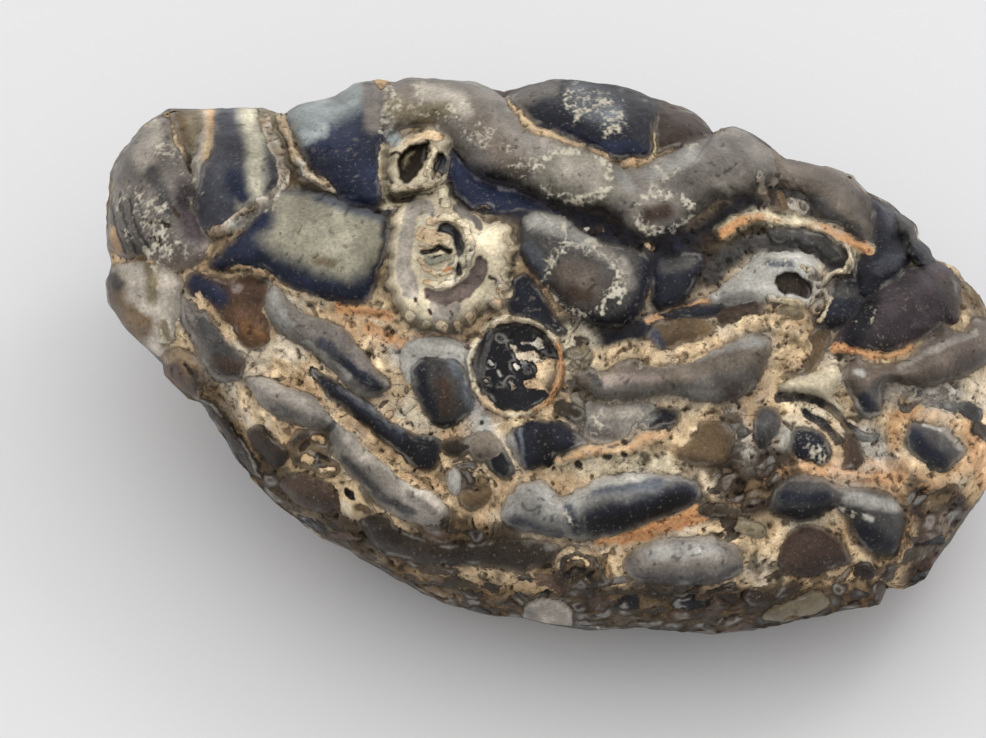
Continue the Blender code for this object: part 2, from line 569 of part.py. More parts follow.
def make_stone(collection):
    ball = bmesh.new()
    bmesh.ops.create_icosphere(ball, subdivisions=BALL_SUBDIVISIONS, radius=1)
    mesh = bpy.data.meshes.new(NAME)
    ball.to_mesh(mesh)
    ball.free()

    directions = np.empty(len(mesh.vertices) * 3, np.float32)
    mesh.vertices.foreach_get("co", directions)
    directions = directions.reshape(-1, 3).astype(float)
    faces = np.empty(len(mesh.polygons) * 3, np.int32)
    mesh.polygons.foreach_get("vertices", faces)
    faces = faces.reshape(-1, 3)

    places, depth = plain_form(directions)
    plain = to_world(places, depth)
    normals = vertex_normals(plain, faces)
    tilt = math.radians(VIEW_TILT)
    facing = normals @ np.array([0, -math.cos(tilt), math.sin(tilt)])
    toward = directions[:, 2]
    seen = ease(toward, *SEEN_EDGE)
    unseen = 1 - ease(toward, *UNSEEN_EDGE)
    relief = face_relief(places)
    points = to_world(places, depth + seen * relief / np.clip(facing, GREATEST_SLANT, 1))
    knobs = rind_relief(plain, normals) - RIND_SINK + SWAY * noise(plain, SWAY_SIZE, SWAY_SEED)
    knobs *= 1 - RIM_CALM * np.exp(-((toward / RIM_WIDTH) ** 2))
    knobs *= 1 - ease(-normals[:, 2], *WORN_UNDERSIDE)
    rough = ROUGHNESS * noise(plain, ROUGHNESS_SIZE, ROUGHNESS_SEED)
    points += normals * (unseen * knobs + rough)[:, None]
    points[:, 2] = np.maximum(points[:, 2], points[:, 2].min() + FLOOR_CUT)
    mesh.vertices.foreach_set("co", (points * MM).ravel())
    mesh.update()

    stone = bpy.data.objects.new(NAME, mesh)
    collection.objects.link(stone)
    coarse = stone.vertex_groups.new(name="coarseness")
    coarse.add(np.flatnonzero(toward >= 0).tolist(), SEEN_COARSENESS, "REPLACE")
    coarse.add(np.flatnonzero(toward < 0).tolist(), UNSEEN_COARSENESS, "REPLACE")
    return stone


def make_light(stone):
    """Keeps the form with far fewer faces, and stands it on an exactly flat facet at the origin."""
    decimate = stone.modifiers.new("Fewer faces", "DECIMATE")
    decimate.ratio = FACE_COUNT / len(stone.data.polygons)
    decimate.use_collapse_triangulate = True
    decimate.vertex_group = "coarseness"
    decimate.vertex_group_factor = COARSENESS_FACTOR
    graph = bpy.context.evaluated_depsgraph_get()
    light = bpy.data.meshes.new_from_object(stone.evaluated_get(graph))
    stone.modifiers.clear()
    full = stone.data
    stone.data = light
    light.name = NAME
    light.shade_smooth()
    bpy.data.meshes.remove(full)

    points = np.empty(len(light.vertices) * 3, np.float32)
    light.vertices.foreach_get("co", points)
    points = points.reshape(-1, 3).astype(float)
    points -= (points.min(axis=0) + points.max(axis=0)) / 2
    points[:, 2] -= points[:, 2].min()
    points[points[:, 2] < FLOOR_SNAP * MM, 2] = 0
    light.vertices.foreach_set("co", points.ravel())
    light.update()


def make_material():
    """Weathered chalcedony: slate grey, between waxy and dull."""
    material = bpy.data.materials.new("chalcedony")
    material.use_nodes = True
    shader = material.node_tree.nodes["Principled BSDF"]
    shader.inputs["Base Color"].default_value = (0.16, 0.15, 0.15, 1)
    shader.inputs["Roughness"].default_value = 0.5
    shader.inputs["Metallic"].default_value = 0.0
    return material


def main():
    for obj in list(bpy.data.objects):
        bpy.data.objects.remove(obj, do_unlink=True)
    collection = bpy.data.collections.new("agate geode")
    bpy.context.scene.collection.children.link(collection)
    stone = make_stone(collection)
    make_light(stone)
    stone.data.materials.append(make_material())


main()
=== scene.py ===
"""The looks of a chalcedony nodule that lies with its knobbly face turned up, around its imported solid."""

import itertools
import math

import bmesh
import bpy
import numpy as np
from mathutils import Matrix, Vector


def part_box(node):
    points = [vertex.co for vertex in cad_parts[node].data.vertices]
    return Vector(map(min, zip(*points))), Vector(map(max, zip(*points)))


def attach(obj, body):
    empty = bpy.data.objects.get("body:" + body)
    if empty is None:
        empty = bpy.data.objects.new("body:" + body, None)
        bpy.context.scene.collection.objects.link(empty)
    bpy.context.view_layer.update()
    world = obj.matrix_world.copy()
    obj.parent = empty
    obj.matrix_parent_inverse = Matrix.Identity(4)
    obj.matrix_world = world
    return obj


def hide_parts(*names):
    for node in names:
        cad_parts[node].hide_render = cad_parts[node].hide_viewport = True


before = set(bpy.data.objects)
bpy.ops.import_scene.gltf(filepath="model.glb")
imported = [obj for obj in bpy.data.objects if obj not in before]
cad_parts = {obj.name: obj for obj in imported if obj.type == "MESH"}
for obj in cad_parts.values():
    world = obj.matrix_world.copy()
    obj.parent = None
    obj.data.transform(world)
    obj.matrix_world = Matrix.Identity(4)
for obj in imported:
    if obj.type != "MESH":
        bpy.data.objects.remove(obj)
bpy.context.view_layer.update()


# The body: one lump of chalcedony, grown as a leaning pillow inside the outline that the viewer sees.
# It is worked in the plane of the picture. A place is pixels across and down, turned into millimetres
# from its middle, and depth is millimetres towards the viewer, who looks down at a slant.
VIEW_TILT = math.radians(50.0)
VIEW_DISTANCE = 500.0
PIXEL_MIDDLE = (550.0, 355.0)
LENGTH = 95.0
PIXEL_LENGTH = 901.0
MM_PER_PIXEL = LENGTH / PIXEL_LENGTH
UP = np.array([0.0, math.sin(VIEW_TILT), math.cos(VIEW_TILT)])
TO_VIEWER = np.array([0.0, -math.cos(VIEW_TILT), math.sin(VIEW_TILT)])


def to_plane(pixels):
    """Pixels of the picture to millimetres in its plane, from the stone's middle."""
    pixels = np.asarray(pixels, float)
    return np.stack(
        [pixels[..., 0] - PIXEL_MIDDLE[0], PIXEL_MIDDLE[1] - pixels[..., 1]], axis=-1
    ) * MM_PER_PIXEL


def to_world(places, depth):
    """Places of the picture plane, at their depth along the line of sight, in millimetres."""
    across = places * (1 - depth / VIEW_DISTANCE)[:, None]
    return np.stack([
        across[:, 0],
        across[:, 1] * math.sin(VIEW_TILT) - depth * math.cos(VIEW_TILT),
        across[:, 1] * math.cos(VIEW_TILT) + depth * math.sin(VIEW_TILT),
    ], axis=1)


HALF_THICKNESS = 22.0
FULLNESS = 0.9
LEAN = 0.367
OUTLINE_SAMPLES = 720
SMOOTH_WAVES = 9
SEEN_RIM_POWER = 14
UNSEEN_RIM_POWER = 20
SILHOUETTE = [
    (102, 225), (105, 200), (107, 180), (117, 160), (138, 130), (165, 113), (190, 114), (222, 113),
    (258, 110), (272, 115), (280, 116), (294, 108), (320, 104), (332, 100), (352, 87), (378, 83),
    (390, 85), (407, 79), (450, 81), (472, 83), (490, 91), (500, 98), (521, 86), (549, 79),
    (575, 82), (610, 87), (650, 99), (690, 111), (700, 119), (710, 131), (718, 124), (730, 122),
    (752, 131), (783, 153), (820, 160), (850, 171), (864, 189), (890, 202), (913, 218), (914, 234),
    (928, 244), (930, 252), (951, 258), (972, 280), (986, 305), (997, 335), (1003, 390), (1001, 440),
    (990, 480), (964, 508), (943, 540), (927, 572), (905, 583), (891, 580), (884, 599), (850, 607),
    (800, 617), (750, 625), (707, 628), (640, 625), (564, 626), (524, 618), (491, 616), (459, 606),
    (412, 581), (356, 555), (303, 524), (277, 506), (258, 489), (239, 465), (226, 446), (209, 421),
    (200, 407), (189, 403), (165, 379), (163, 367), (155, 359), (131, 339), (107, 310), (103, 290),
    (110, 270), (104, 250),
]


def silhouette_radius(angles):
    """The outline's distance from the middle at each angle, and that of its smoothed form."""
    outline = to_plane(SILHOUETTE)
    around = np.arctan2(outline[:, 1], outline[:, 0])
    reach = np.hypot(outline[:, 0], outline[:, 1])
    order = np.argsort(around)
    samples = np.linspace(-math.pi, math.pi, OUTLINE_SAMPLES, endpoint=False)
    exact = np.interp(samples, around[order], reach[order], period=2 * math.pi)
    waves = np.fft.rfft(exact)
    waves[SMOOTH_WAVES:] = 0
    smooth = np.fft.irfft(waves, len(samples))
    return (
        np.interp(angles, samples, exact, period=2 * math.pi),
        np.interp(angles, samples, smooth, period=2 * math.pi),
    )


def plain_form(directions):
    """The smooth pillow: each point's place in the picture plane, and its depth."""
    x, y, z = directions.T
    out = np.hypot(x, y)
    angles = np.arctan2(y, x)
    exact, smooth = silhouette_radius(angles)
    rim_power = np.where(z > 0, SEEN_RIM_POWER, UNSEEN_RIM_POWER)
    reach = out * (smooth + (exact - smooth) * out**rim_power)
    places = np.stack([reach * np.cos(angles), reach * np.sin(angles)], axis=1)
    depth = -LEAN * places[:, 1] + HALF_THICKNESS * np.sign(z) * abs(z) ** FULLNESS
    return places, depth


# Two grids of squares are wrapped round it: a dense one over the knobbly face, as far down as
# FACE_REACH from its middle, and a coarser one over the rest. They give their squares' count across
# and up, and the size of one in millimetres.
FACE_SQUARES = (800, 440)
FACE_SQUARE = 0.12
FACE_REACH = math.acos(0.1)
FACE_RIM_SHARE = 0.3
FACE_RIM_POWER = 6
BACK_SQUARES = (420, 224)
BACK_SQUARE = 0.3
BACK_REACH = math.acos(-0.12)
GRID_HALVES = (47.5, 29.0)
SEEN_EDGE = (0.04, 0.18)
UNSEEN_EDGE = (0.0, 0.16)


def grid_of_directions(squares, fall, mirrored):
    """Directions from the stone's heart, on a grid of squares round its face or its back."""
    across, up = np.meshgrid(*(np.linspace(-1, 1, count + 1) for count in squares))
    across, up = across * np.sqrt(1 - up**2 / 2), up * np.sqrt(1 - across**2 / 2)
    down = fall(np.clip(np.hypot(across, up), 0, 1))
    around = np.arctan2(GRID_HALVES[1] * up, GRID_HALVES[0] * across * (-1 if mirrored else 1))
    return np.stack(
        [np.sin(down) * np.cos(around), np.sin(down) * np.sin(around), np.cos(down)], axis=-1
    )


face_grid = grid_of_directions(
    FACE_SQUARES,
    lambda ring: FACE_REACH * (ring + FACE_RIM_SHARE * (ring**FACE_RIM_POWER - ring)),
    mirrored=False,
)
back_grid = grid_of_directions(BACK_SQUARES, lambda ring: math.pi - BACK_REACH * ring, mirrored=True)
face_count = face_grid.size // 3
directions = np.vstack([face_grid.reshape(-1, 3), back_grid.reshape(-1, 3)])
GRIDS = [
    (slice(0, face_count), face_grid.shape[:2], FACE_SQUARE),
    (slice(face_count, None), back_grid.shape[:2], BACK_SQUARE),
]


def levelled(values, reach):
    """The values blurred over this many millimetres of the surface."""
    blurred = values.copy()
    for part, shape, square in GRIDS:
        grid = values[part].reshape(shape)
        for _ in range(round(2 * (reach / square) ** 2)):
            wide = np.pad(grid, 1, mode="edge")
            grid = (wide[1:-1, 2:] + wide[1:-1, :-2] + wide[2:, 1:-1] + wide[:-2, 1:-1]) / 4
        blurred[part] = grid.ravel()
    return blurred


def grid_normals(points):
    """The outward direction at each point of both grids."""
    normals = np.empty_like(points)
    for part, shape, _ in GRIDS:
        grid = points[part].reshape(*shape, 3)
        crossed = np.cross(np.gradient(grid, axis=1), np.gradient(grid, axis=0))
        normals[part] = crossed.reshape(-1, 3)
    return normals / np.linalg.norm(normals, axis=1, keepdims=True)


def ease(value, low, high):
    """From 0 at low to 1 at high, with soft ends."""
    t = np.clip((value - low) / (high - low), 0, 1)
    return t * t * (3 - 2 * t)


places, depth = plain_form(directions)
plain = to_world(places, depth)
normals = grid_normals(plain)
toward = directions[:, 2]
seen = ease(toward, *SEEN_EDGE)
unseen = 1 - ease(toward, *UNSEEN_EDGE)


# Its growth: chalcedony grows unevenly, so every edge and marking wanders. The noise that moves them
# is laid out on the picture plane and, more tightly, along the line of sight. WANDERS are a reach and
# a size in millimetres, and a seed. The seen face is worked out as far round the side as FRONT_EDGE.
NOISE_CELLS = 32
DEPTH_SHARE = 0.6
SWIRL = 0.5
SWIRL_SIZE = 1.5
SWIRL_SEEDS = (51, 52, 53)
SPECK_TURN = 0.9
SPECK_AXIS = (0.4, 0.7, 0.6)
WANDERS = [(0.16, 1.4, 11), (0.12, 0.6, 13), (0.05, 0.28, 15)]
FRONT_EDGE = -0.3


def noise(points, size, seed):
    """Smooth bumps about this many millimetres apart, from -1 to 1."""
    lattice = np.random.default_rng(seed).uniform(-1, 1, (NOISE_CELLS,) * 3).ravel()
    spot = points / size
    cell = np.floor(spot).astype(np.int32)
    t = spot - cell
    x, y, z = (t * t * (3 - 2 * t)).T
    low = (cell % NOISE_CELLS).T
    high = ((cell + 1) % NOISE_CELLS).T
    rows = [(low[0] * NOISE_CELLS, high[0] * NOISE_CELLS), (low[1], high[1]), (low[2], high[2])]
    sheets = []
    for behind in rows[2]:
        lines = []
        for above in rows[1]:
            first, second = (lattice[(side + above) * NOISE_CELLS + behind] for side in rows[0])
            lines.append(first + x * (second - first))
        sheets.append(lines[0] + y * (lines[1] - lines[0]))
    return sheets[0] + z * (sheets[1] - sheets[0])


def noise_vectors(points, size, seeds):
    """Noise in as many directions as there are seeds."""
    return np.stack([noise(points, size, seed) for seed in seeds], axis=1)


spots = np.column_stack([places, DEPTH_SHARE * depth])
swirled = spots + SWIRL * noise_vectors(spots, SWIRL_SIZE, SWIRL_SEEDS)
turned = swirled @ np.array(Matrix.Rotation(SPECK_TURN, 3, Vector(SPECK_AXIS)))


def layers(size, seed, count=4, points=swirled):
    """Noise in several sizes, each half as large and as strong as the one before."""
    return sum(0.5**step * noise(points, size * 0.5**step, seed + step) for step in range(count))


flat = np.hstack([places, np.zeros((len(places), 1))])
wander = sum(reach * noise_vectors(flat, size, (seed, seed + 1)) for reach, size, seed in WANDERS)
front = np.flatnonzero(toward > FRONT_EDGE)
strayed = (places + wander)[front]


# The swellings: rounded lobes of bare chalcedony that grew side by side over the whole face. Each has its
# height and the width of its shoulder in millimetres, its tone and its outline, then strokes of other tones
# in it: tone, half width in pixels, line. Many strokes lay pale tones along a swelling's top and dark ones
# along its lower edge: partly the chalcedony's own cloudy and dark layers, partly painted sheen and painted
# shade.
SWELLINGS = {
    "left dome": (2.6, 5.0, "smoke", [
        (98, 215), (104, 180), (122, 148), (148, 124), (164, 122), (170, 145), (182, 165), (190, 192),
        (193, 215), (204, 236), (214, 250), (204, 262), (186, 273), (165, 272), (145, 262), (120, 262),
        (102, 250)], [
        ("pewter", 12, [(150, 132), (140, 165)]),
        ("plum", 13, [(182, 198), (192, 236)]),
        ("graphite", 8, [(148, 176), (166, 214)]),
        ("rose", 9, [(150, 264), (185, 268), (208, 256)]),
        ("tan", 5, [(110, 236), (116, 256)]),
    ]),
    "lower left dome": (2.2, 4.0, "pewter", [
        (98, 292), (106, 276), (120, 268), (150, 268), (178, 282), (180, 300), (176, 325), (172, 345),
        (160, 360), (143, 354), (122, 338), (104, 314)], [
        ("tobacco", 15, [(108, 286), (116, 312), (138, 336)]),
        ("tobacco", 6, [(130, 315), (146, 328)]),
        ("olive", 8, [(150, 270), (152, 302)]),
        ("olive", 6, [(162, 330), (166, 348)]),
        ("bark", 6, [(110, 284), (116, 290)]),
    ]),
    "olive wedge": (1.6, 2.0, "olive", [
        (166, 116), (174, 107), (192, 108), (198, 120), (196, 138), (192, 158), (182, 154),
        (174, 138)], [
        ("tobacco", 6, [(176, 120), (182, 150)]),
    ]),
    "tan wedge": (1.3, 1.8, "pewter", [
        (196, 112), (208, 112), (210, 130), (210, 150), (202, 165), (196, 190), (190, 190), (189, 168),
        (193, 148), (198, 130)], [
        ("sand", 4, [(205, 116), (206, 140), (202, 160)]),
        ("tan", 2.5, [(207, 114), (208, 136)]),
        ("dove", 4, [(192, 168), (192, 186)]),
    ]),
    "grey bluff": (2.8, 3.2, "slate", [
        (210, 110), (232, 106), (252, 108), (256, 128), (268, 145), (278, 165), (281, 184), (270, 198),
        (262, 210), (244, 222), (225, 238), (212, 241), (200, 232), (194, 215), (192, 195), (198, 175),
        (210, 152)], [
        ("whey", 11, [(244, 115), (252, 150), (252, 190), (244, 206)]),
        ("navy", 11, [(230, 182), (240, 200)]),
    ]),
    "brown wedge": (1.2, 1.5, "olive", [
        (256, 108), (272, 112), (276, 130), (282, 152), (292, 172), (299, 192), (288, 194), (280, 188),
        (280, 175), (270, 150), (262, 132)], [
        ("tobacco", 7, [(285, 165), (294, 190)]),
    ]),
    "blue bluff": (3.0, 3.6, "navy", [
        (283, 112), (300, 104), (330, 96), (352, 84), (366, 82), (378, 95), (384, 130), (382, 165),
        (380, 200), (370, 208), (345, 204), (325, 194), (308, 178), (302, 160), (290, 140)], [
        ("mist", 18, [(300, 122), (330, 106), (350, 94)]),
        ("mist", 9, [(302, 140), (318, 132)]),
        ("smoke", 11, [(368, 86), (371, 126)]),
    ]),
    "cloud lobe": (3.4, 5.0, "milk", [
        (270, 198), (290, 192), (320, 195), (345, 206), (372, 214), (386, 222), (386, 245), (378, 275),
        (370, 298), (352, 306), (325, 303), (300, 295), (275, 283), (245, 276), (225, 276), (206, 268),
        (222, 252), (236, 240), (250, 224), (262, 212)], [
        ("steel", 8, [(268, 203), (300, 196), (340, 206), (384, 220)]),
        ("navy", 23, [(214, 264), (240, 256), (262, 272), (296, 290)]),
        ("navy", 17, [(232, 242), (258, 222)]),
        ("navy", 19, [(280, 286), (325, 294), (352, 298), (374, 288)]),
        ("ink", 8, [(386, 226), (385, 250), (376, 286)]),
        ("olive", 5, [(316, 262), (330, 266)]),
        ("milk", 8, [(274, 205), (304, 203)]),
        ("navy", 8, [(296, 290), (336, 300), (366, 296), (380, 272)]),
        ("navy", 4, [(385, 226), (384, 262)]),
    ]),
    "arch": (4.0, 4.8, "dove", [
        (376, 92), (390, 82), (410, 77), (450, 78), (478, 82), (496, 93), (506, 104), (520, 124),
        (545, 135), (575, 145), (600, 155), (615, 162), (640, 163), (660, 155), (690, 140), (716, 130),
        (722, 120), (740, 122), (760, 135), (775, 148), (775, 165), (765, 178), (745, 188), (715, 198),
        (690, 215), (672, 232), (650, 238), (630, 232), (605, 212), (575, 205), (545, 202), (525, 192),
        (500, 182), (478, 175), (462, 160), (450, 150), (440, 136), (425, 128), (400, 128), (385, 135),
        (380, 118)], [
        ("taupe", 15, [(392, 96), (452, 100), (490, 140), (515, 165)]),
        ("olive", 12, [(388, 108), (420, 116), (440, 108)]),
        ("pewter", 8, [(418, 92), (452, 96), (462, 112)]),
        ("slate", 9, [(466, 168), (505, 186), (545, 204), (600, 216)]),
        ("milk", 24, [(560, 172), (592, 178)]),
        ("pewter", 15, [(562, 172), (590, 178)]),
        ("ash", 7, [(618, 170), (624, 184)]),
        ("umber", 10, [(648, 212), (664, 208)]),
        ("slate", 8, [(600, 214), (636, 238), (680, 228), (740, 196)]),
        ("smoke", 14, [(672, 178), (700, 166), (735, 160)]),
        ("ash", 9, [(650, 170), (690, 152)]),
    ]),
    "big shoulder": (3.6, 5.0, "taupe", [
        (740, 122), (765, 136), (783, 149), (820, 157), (850, 166), (867, 188), (872, 205), (870, 225),
        (866, 240), (850, 232), (830, 222), (812, 212), (806, 195), (790, 185), (778, 180), (770, 165),
        (755, 150)], [
        ("graphite", 9, [(812, 196), (832, 215), (860, 235)]),
        ("umber", 7, [(862, 190), (872, 215)]),
    ]),
    "slate flank": (2.2, 3.5, "ink", [
        (866, 188), (890, 200), (904, 212), (904, 236), (912, 250), (900, 268), (885, 280), (868, 295),
        (854, 290), (850, 262), (858, 250), (868, 240), (870, 215)], [
        ("slate", 8, [(884, 206), (896, 222)]),
        ("slate", 7, [(876, 262), (896, 252)]),
    ]),
    "upper knob": (3.4, 1.6, "graphite", [
        (890, 200), (902, 206), (915, 214), (918, 226), (910, 236), (898, 234), (890, 220)], [
    ]),
    "lower knob": (3.2, 1.6, "ink", [
        (905, 238), (918, 234), (930, 242), (933, 254), (920, 260), (908, 254)], [
    ]),
    "navy shelf": (0.9, 2.0, "navy", [
        (444, 150), (455, 158), (470, 172), (490, 184), (515, 190), (545, 205), (560, 212), (540, 212),
        (515, 212), (490, 216), (470, 208), (452, 190), (446, 170)], [
    ]),
    "top lobe": (2.6, 4.0, "ink", [
        (504, 98), (522, 83), (549, 76), (575, 78), (610, 84), (640, 92), (653, 100), (650, 125),
        (649, 150), (640, 157), (612, 156), (590, 148), (570, 138), (552, 130), (535, 124),
        (520, 110)], [
        ("smoke", 10, [(516, 98), (545, 86)]),
        ("steel", 15, [(575, 98), (606, 112)]),
        ("navy", 9, [(560, 130), (600, 146), (636, 146)]),
    ]),
    "top knob": (1.8, 3.0, "umber", [
        (655, 100), (672, 102), (690, 108), (704, 118), (712, 131), (698, 136), (680, 145), (662, 148),
        (655, 150), (652, 130)], [
    ]),
    "bored tube": (2.2, 1.2, "bone", [
        (384, 172), (383, 184), (387, 193), (397, 199), (410, 198), (424, 194), (436, 187), (443, 178),
        (446, 166), (446, 154), (450, 146), (450, 139), (442, 133), (432, 129), (423, 129), (412, 134),
        (400, 139), (389, 148), (385, 155), (387, 164)], [
    ]),
    "rosette": (2.6, 1.3, "bone", [
        (404, 203), (418, 198), (430, 193), (436, 187), (445, 188), (450, 197), (455, 206), (466, 211),
        (477, 218), (486, 225), (496, 223), (506, 225), (511, 233), (512, 241), (517, 248), (512, 257),
        (512, 266), (507, 275), (509, 285), (502, 292), (504, 303), (496, 310), (485, 310), (478, 313),
        (475, 321), (467, 326), (461, 327), (458, 332), (450, 331), (445, 334), (437, 331), (429, 329),
        (420, 331), (410, 326), (402, 320), (398, 310), (392, 303), (390, 294), (384, 287), (388, 277),
        (384, 266), (387, 256), (384, 246), (389, 236), (389, 224), (395, 211)], [
    ]),
    "crowned lobe": (3.4, 5.0, "graphite", [
        (517, 245), (518, 226), (526, 212), (545, 210), (565, 218), (582, 232), (605, 241), (630, 246),
        (648, 254), (650, 272), (647, 292), (638, 312), (622, 326), (600, 326), (578, 317), (558, 303),
        (542, 284), (526, 266)], [
        ("ash", 11, [(534, 220), (560, 224), (584, 240)]),
        ("steel", 7, [(526, 246), (546, 280)]),
        ("ink", 9, [(646, 262), (644, 290), (630, 314), (608, 324), (580, 316)]),
        ("dove", 9, [(600, 250), (618, 262), (626, 280)]),
        ("fawn", 24, [(570, 276), (582, 284)]),
        ("umber", 8, [(570, 290), (586, 294)]),
    ]),
    "dark wedge": (1.0, 2.0, "ink", [
        (503, 300), (508, 285), (516, 275), (525, 272), (536, 284), (548, 302), (558, 318), (566, 334),
        (548, 334), (530, 322), (512, 314)], [
    ]),
    "night lobe": (1.7, 2.5, "ink", [
        (652, 262), (664, 252), (682, 249), (699, 248), (702, 262), (694, 280), (680, 298), (665, 305),
        (652, 300), (650, 282)], [
        ("graphite", 8, [(665, 264), (690, 258)]),
    ]),
    "hood": (1.4, 1.6, "graphite", [
        (764, 226), (785, 222), (810, 226), (830, 236), (843, 250), (838, 257), (822, 256), (806, 244),
        (790, 238), (772, 240)], [
    ]),
    "tongue": (1.7, 2.0, "pearl", [
        (706, 296), (722, 282), (738, 268), (752, 254), (775, 247), (800, 248), (816, 256), (826, 268),
        (826, 284), (816, 300), (798, 302), (775, 298), (750, 300), (725, 303)], [
        ("steel", 5, [(768, 260), (788, 260)]),
        ("bone", 5, [(818, 262), (824, 280), (812, 298)]),
        ("ash", 5, [(722, 292), (750, 292)]),
    ]),
    "olive bead": (1.2, 1.0, "olive", [
        (777, 306), (788, 297), (799, 302), (802, 312), (790, 318), (779, 315)], [
    ]),
    "black cell": (1.2, 1.5, "ink", [
        (812, 312), (820, 298), (828, 282), (842, 274), (858, 276), (866, 288), (862, 306), (850, 320),
        (832, 326), (816, 322)], [
        ("graphite", 7, [(838, 286), (856, 290)]),
        ("coal", 5, [(822, 316), (846, 318)]),
    ]),
    "plum lobe": (2.6, 4.4, "plum", [
        (832, 338), (842, 320), (858, 300), (875, 282), (895, 268), (915, 258), (935, 255), (950, 262),
        (958, 280), (961, 300), (955, 316), (940, 318), (925, 332), (905, 342), (885, 348), (862, 348),
        (845, 344)], [
        ("umber", 8, [(945, 272), (957, 300)]),
        ("coal", 12, [(852, 332), (868, 300)]),
    ]),
    "bent tube": (3.0, 3.0, "fawn", [
        (843, 375), (845, 362), (856, 355), (875, 358), (900, 356), (918, 342), (930, 328), (942, 318),
        (960, 326), (975, 310), (996, 318), (1000, 345), (978, 362), (958, 372), (930, 380), (905, 378),
        (886, 378), (882, 395), (882, 408), (866, 413), (854, 402), (850, 388)], [
        ("dove", 4, [(900, 360), (935, 342), (975, 325)]),
        ("graphite", 10, [(862, 402), (878, 385)]),
        ("ink", 8, [(862, 394), (874, 404)]),
        ("pearl", 2, [(850, 384), (858, 400), (868, 410), (882, 408)]),
        # A painted highlight on the tube's head.
        ("ash", 4, [(856, 367), (861, 368)]),
    ]),
    "brown eye": (1.2, 2.0, "tobacco", [
        (643, 335), (655, 320), (680, 316), (702, 317), (716, 324), (702, 334), (686, 343), (664, 349),
        (648, 345)], [
        ("slate", 7, [(650, 330), (660, 342)]),
    ]),
    "slate lens": (0.9, 1.0, "ink", [
        (660, 313), (680, 304), (706, 299), (728, 303), (716, 312), (690, 316)], [
    ]),
    "olive chip": (0.9, 1.2, "umber", [
        (715, 306), (736, 298), (754, 295), (763, 308), (756, 319), (738, 322), (722, 324)], [
    ]),
    "long tube": (3.0, 3.6, "taupe", [
        (577, 374), (588, 366), (606, 368), (622, 359), (645, 358), (668, 361), (690, 352), (720, 340),
        (742, 332), (762, 330), (772, 342), (766, 360), (758, 378), (744, 393), (720, 399), (698, 398),
        (670, 392), (648, 396), (622, 398), (602, 398), (588, 388)], [
        ("dove", 9, [(596, 388), (650, 390), (700, 390)]),
        ("rose", 6, [(608, 376), (655, 377)]),
        ("ash", 6, [(700, 352), (745, 338), (762, 340)]),
        ("graphite", 5, [(590, 372), (600, 380)]),
        ("smoke", 9, [(700, 380), (752, 370)]),
        ("ash", 6, [(672, 392), (722, 392)]),
    ]),
    "speckled lobe": (0.9, 2.4, "dove", [
        (588, 400), (612, 404), (638, 400), (656, 406), (646, 416), (634, 422), (626, 434), (606, 442),
        (594, 440), (584, 432), (588, 416)], [
        ("smoke", 7, [(592, 430), (612, 434)]),
        ("pewter", 6, [(604, 412), (634, 410)]),
    ]),
    "ribbed lens": (0.9, 1.2, "coal", [
        (642, 422), (650, 412), (664, 406), (680, 407), (680, 418), (668, 427), (650, 431)], [
        ("smoke", 1.2, [(650, 427), (662, 421), (676, 418)]),
        ("slate", 1.2, [(648, 419), (662, 413)]),
    ]),
    "veil": (0.7, 1.6, "pearl", [
        (402, 352), (416, 341), (440, 338), (460, 342), (473, 356), (479, 374), (481, 392), (474, 396),
        (468, 376), (455, 362), (430, 360), (414, 368), (411, 384), (404, 376)], [
        ("ash", 6, [(470, 362), (478, 388)]),
    ]),
    "veiled lobe": (1.5, 3.0, "graphite", [
        (411, 376), (413, 364), (425, 358), (444, 357), (458, 361), (468, 371), (472, 387), (474, 403),
        (468, 417), (456, 427), (441, 428), (429, 420), (421, 406), (414, 390)], [
        ("ink", 7, [(420, 368), (424, 392), (438, 414)]),
        ("umber", 9, [(442, 384), (448, 410)]),
        ("steel", 6, [(452, 364), (466, 384), (470, 406)]),
        ("coal", 3, [(434, 424), (462, 424)]),
    ]),
    "navy eye": (1.6, 2.2, "ink", [
        (508, 442), (512, 430), (527, 423), (545, 420), (562, 422), (580, 432), (590, 442), (584, 452),
        (568, 453), (558, 462), (542, 467), (526, 468), (516, 455)], [
        ("ash", 4, [(512, 436), (518, 462)]),
        ("steel", 2.5, [(521, 430), (526, 464)]),
        ("coal", 10, [(545, 434), (552, 455)]),
        ("smoke", 6, [(580, 440), (584, 446)]),
    ]),
    "twin lobe": (3.0, 3.4, "ash", [
        (504, 514), (510, 500), (520, 486), (540, 479), (553, 486), (562, 496), (578, 490), (600, 477),
        (625, 471), (660, 471), (690, 475), (704, 486), (702, 495), (688, 506), (665, 516), (642, 524),
        (620, 535), (600, 539), (575, 538), (545, 534), (522, 530), (509, 524)], [
        ("slate", 9, [(514, 524), (560, 536)]),
        ("slate", 6, [(570, 505), (580, 530)]),
        ("ink", 20, [(596, 520), (640, 508), (690, 492)]),
        ("steel", 8, [(600, 488), (660, 480)]),
        ("pearl", 6, [(588, 484), (640, 474)]),
        ("ash", 7, [(520, 498), (545, 490)]),
        ("coal", 9, [(602, 524), (650, 509), (688, 496)]),
    ]),
    "grey egg": (3.0, 3.6, "dove", [
        (627, 568), (628, 556), (640, 545), (658, 537), (685, 534), (712, 532), (732, 539), (744, 550),
        (746, 562), (738, 573), (715, 580), (685, 583), (655, 583), (636, 579)], [
        ("ash", 9, [(655, 550), (712, 545)]),
        ("smoke", 8, [(632, 560), (650, 574), (720, 568), (738, 560)]),
        ("graphite", 9, [(642, 580), (680, 582), (720, 578), (742, 568)]),
    ]),
    "brown block": (1.0, 1.0, "tobacco", [
        (700, 421), (728, 420), (733, 436), (730, 455), (716, 462), (700, 464), (685, 459), (677, 451),
        (690, 440), (698, 432)], [
    ]),
    "slate bead": (1.4, 1.6, "graphite", [
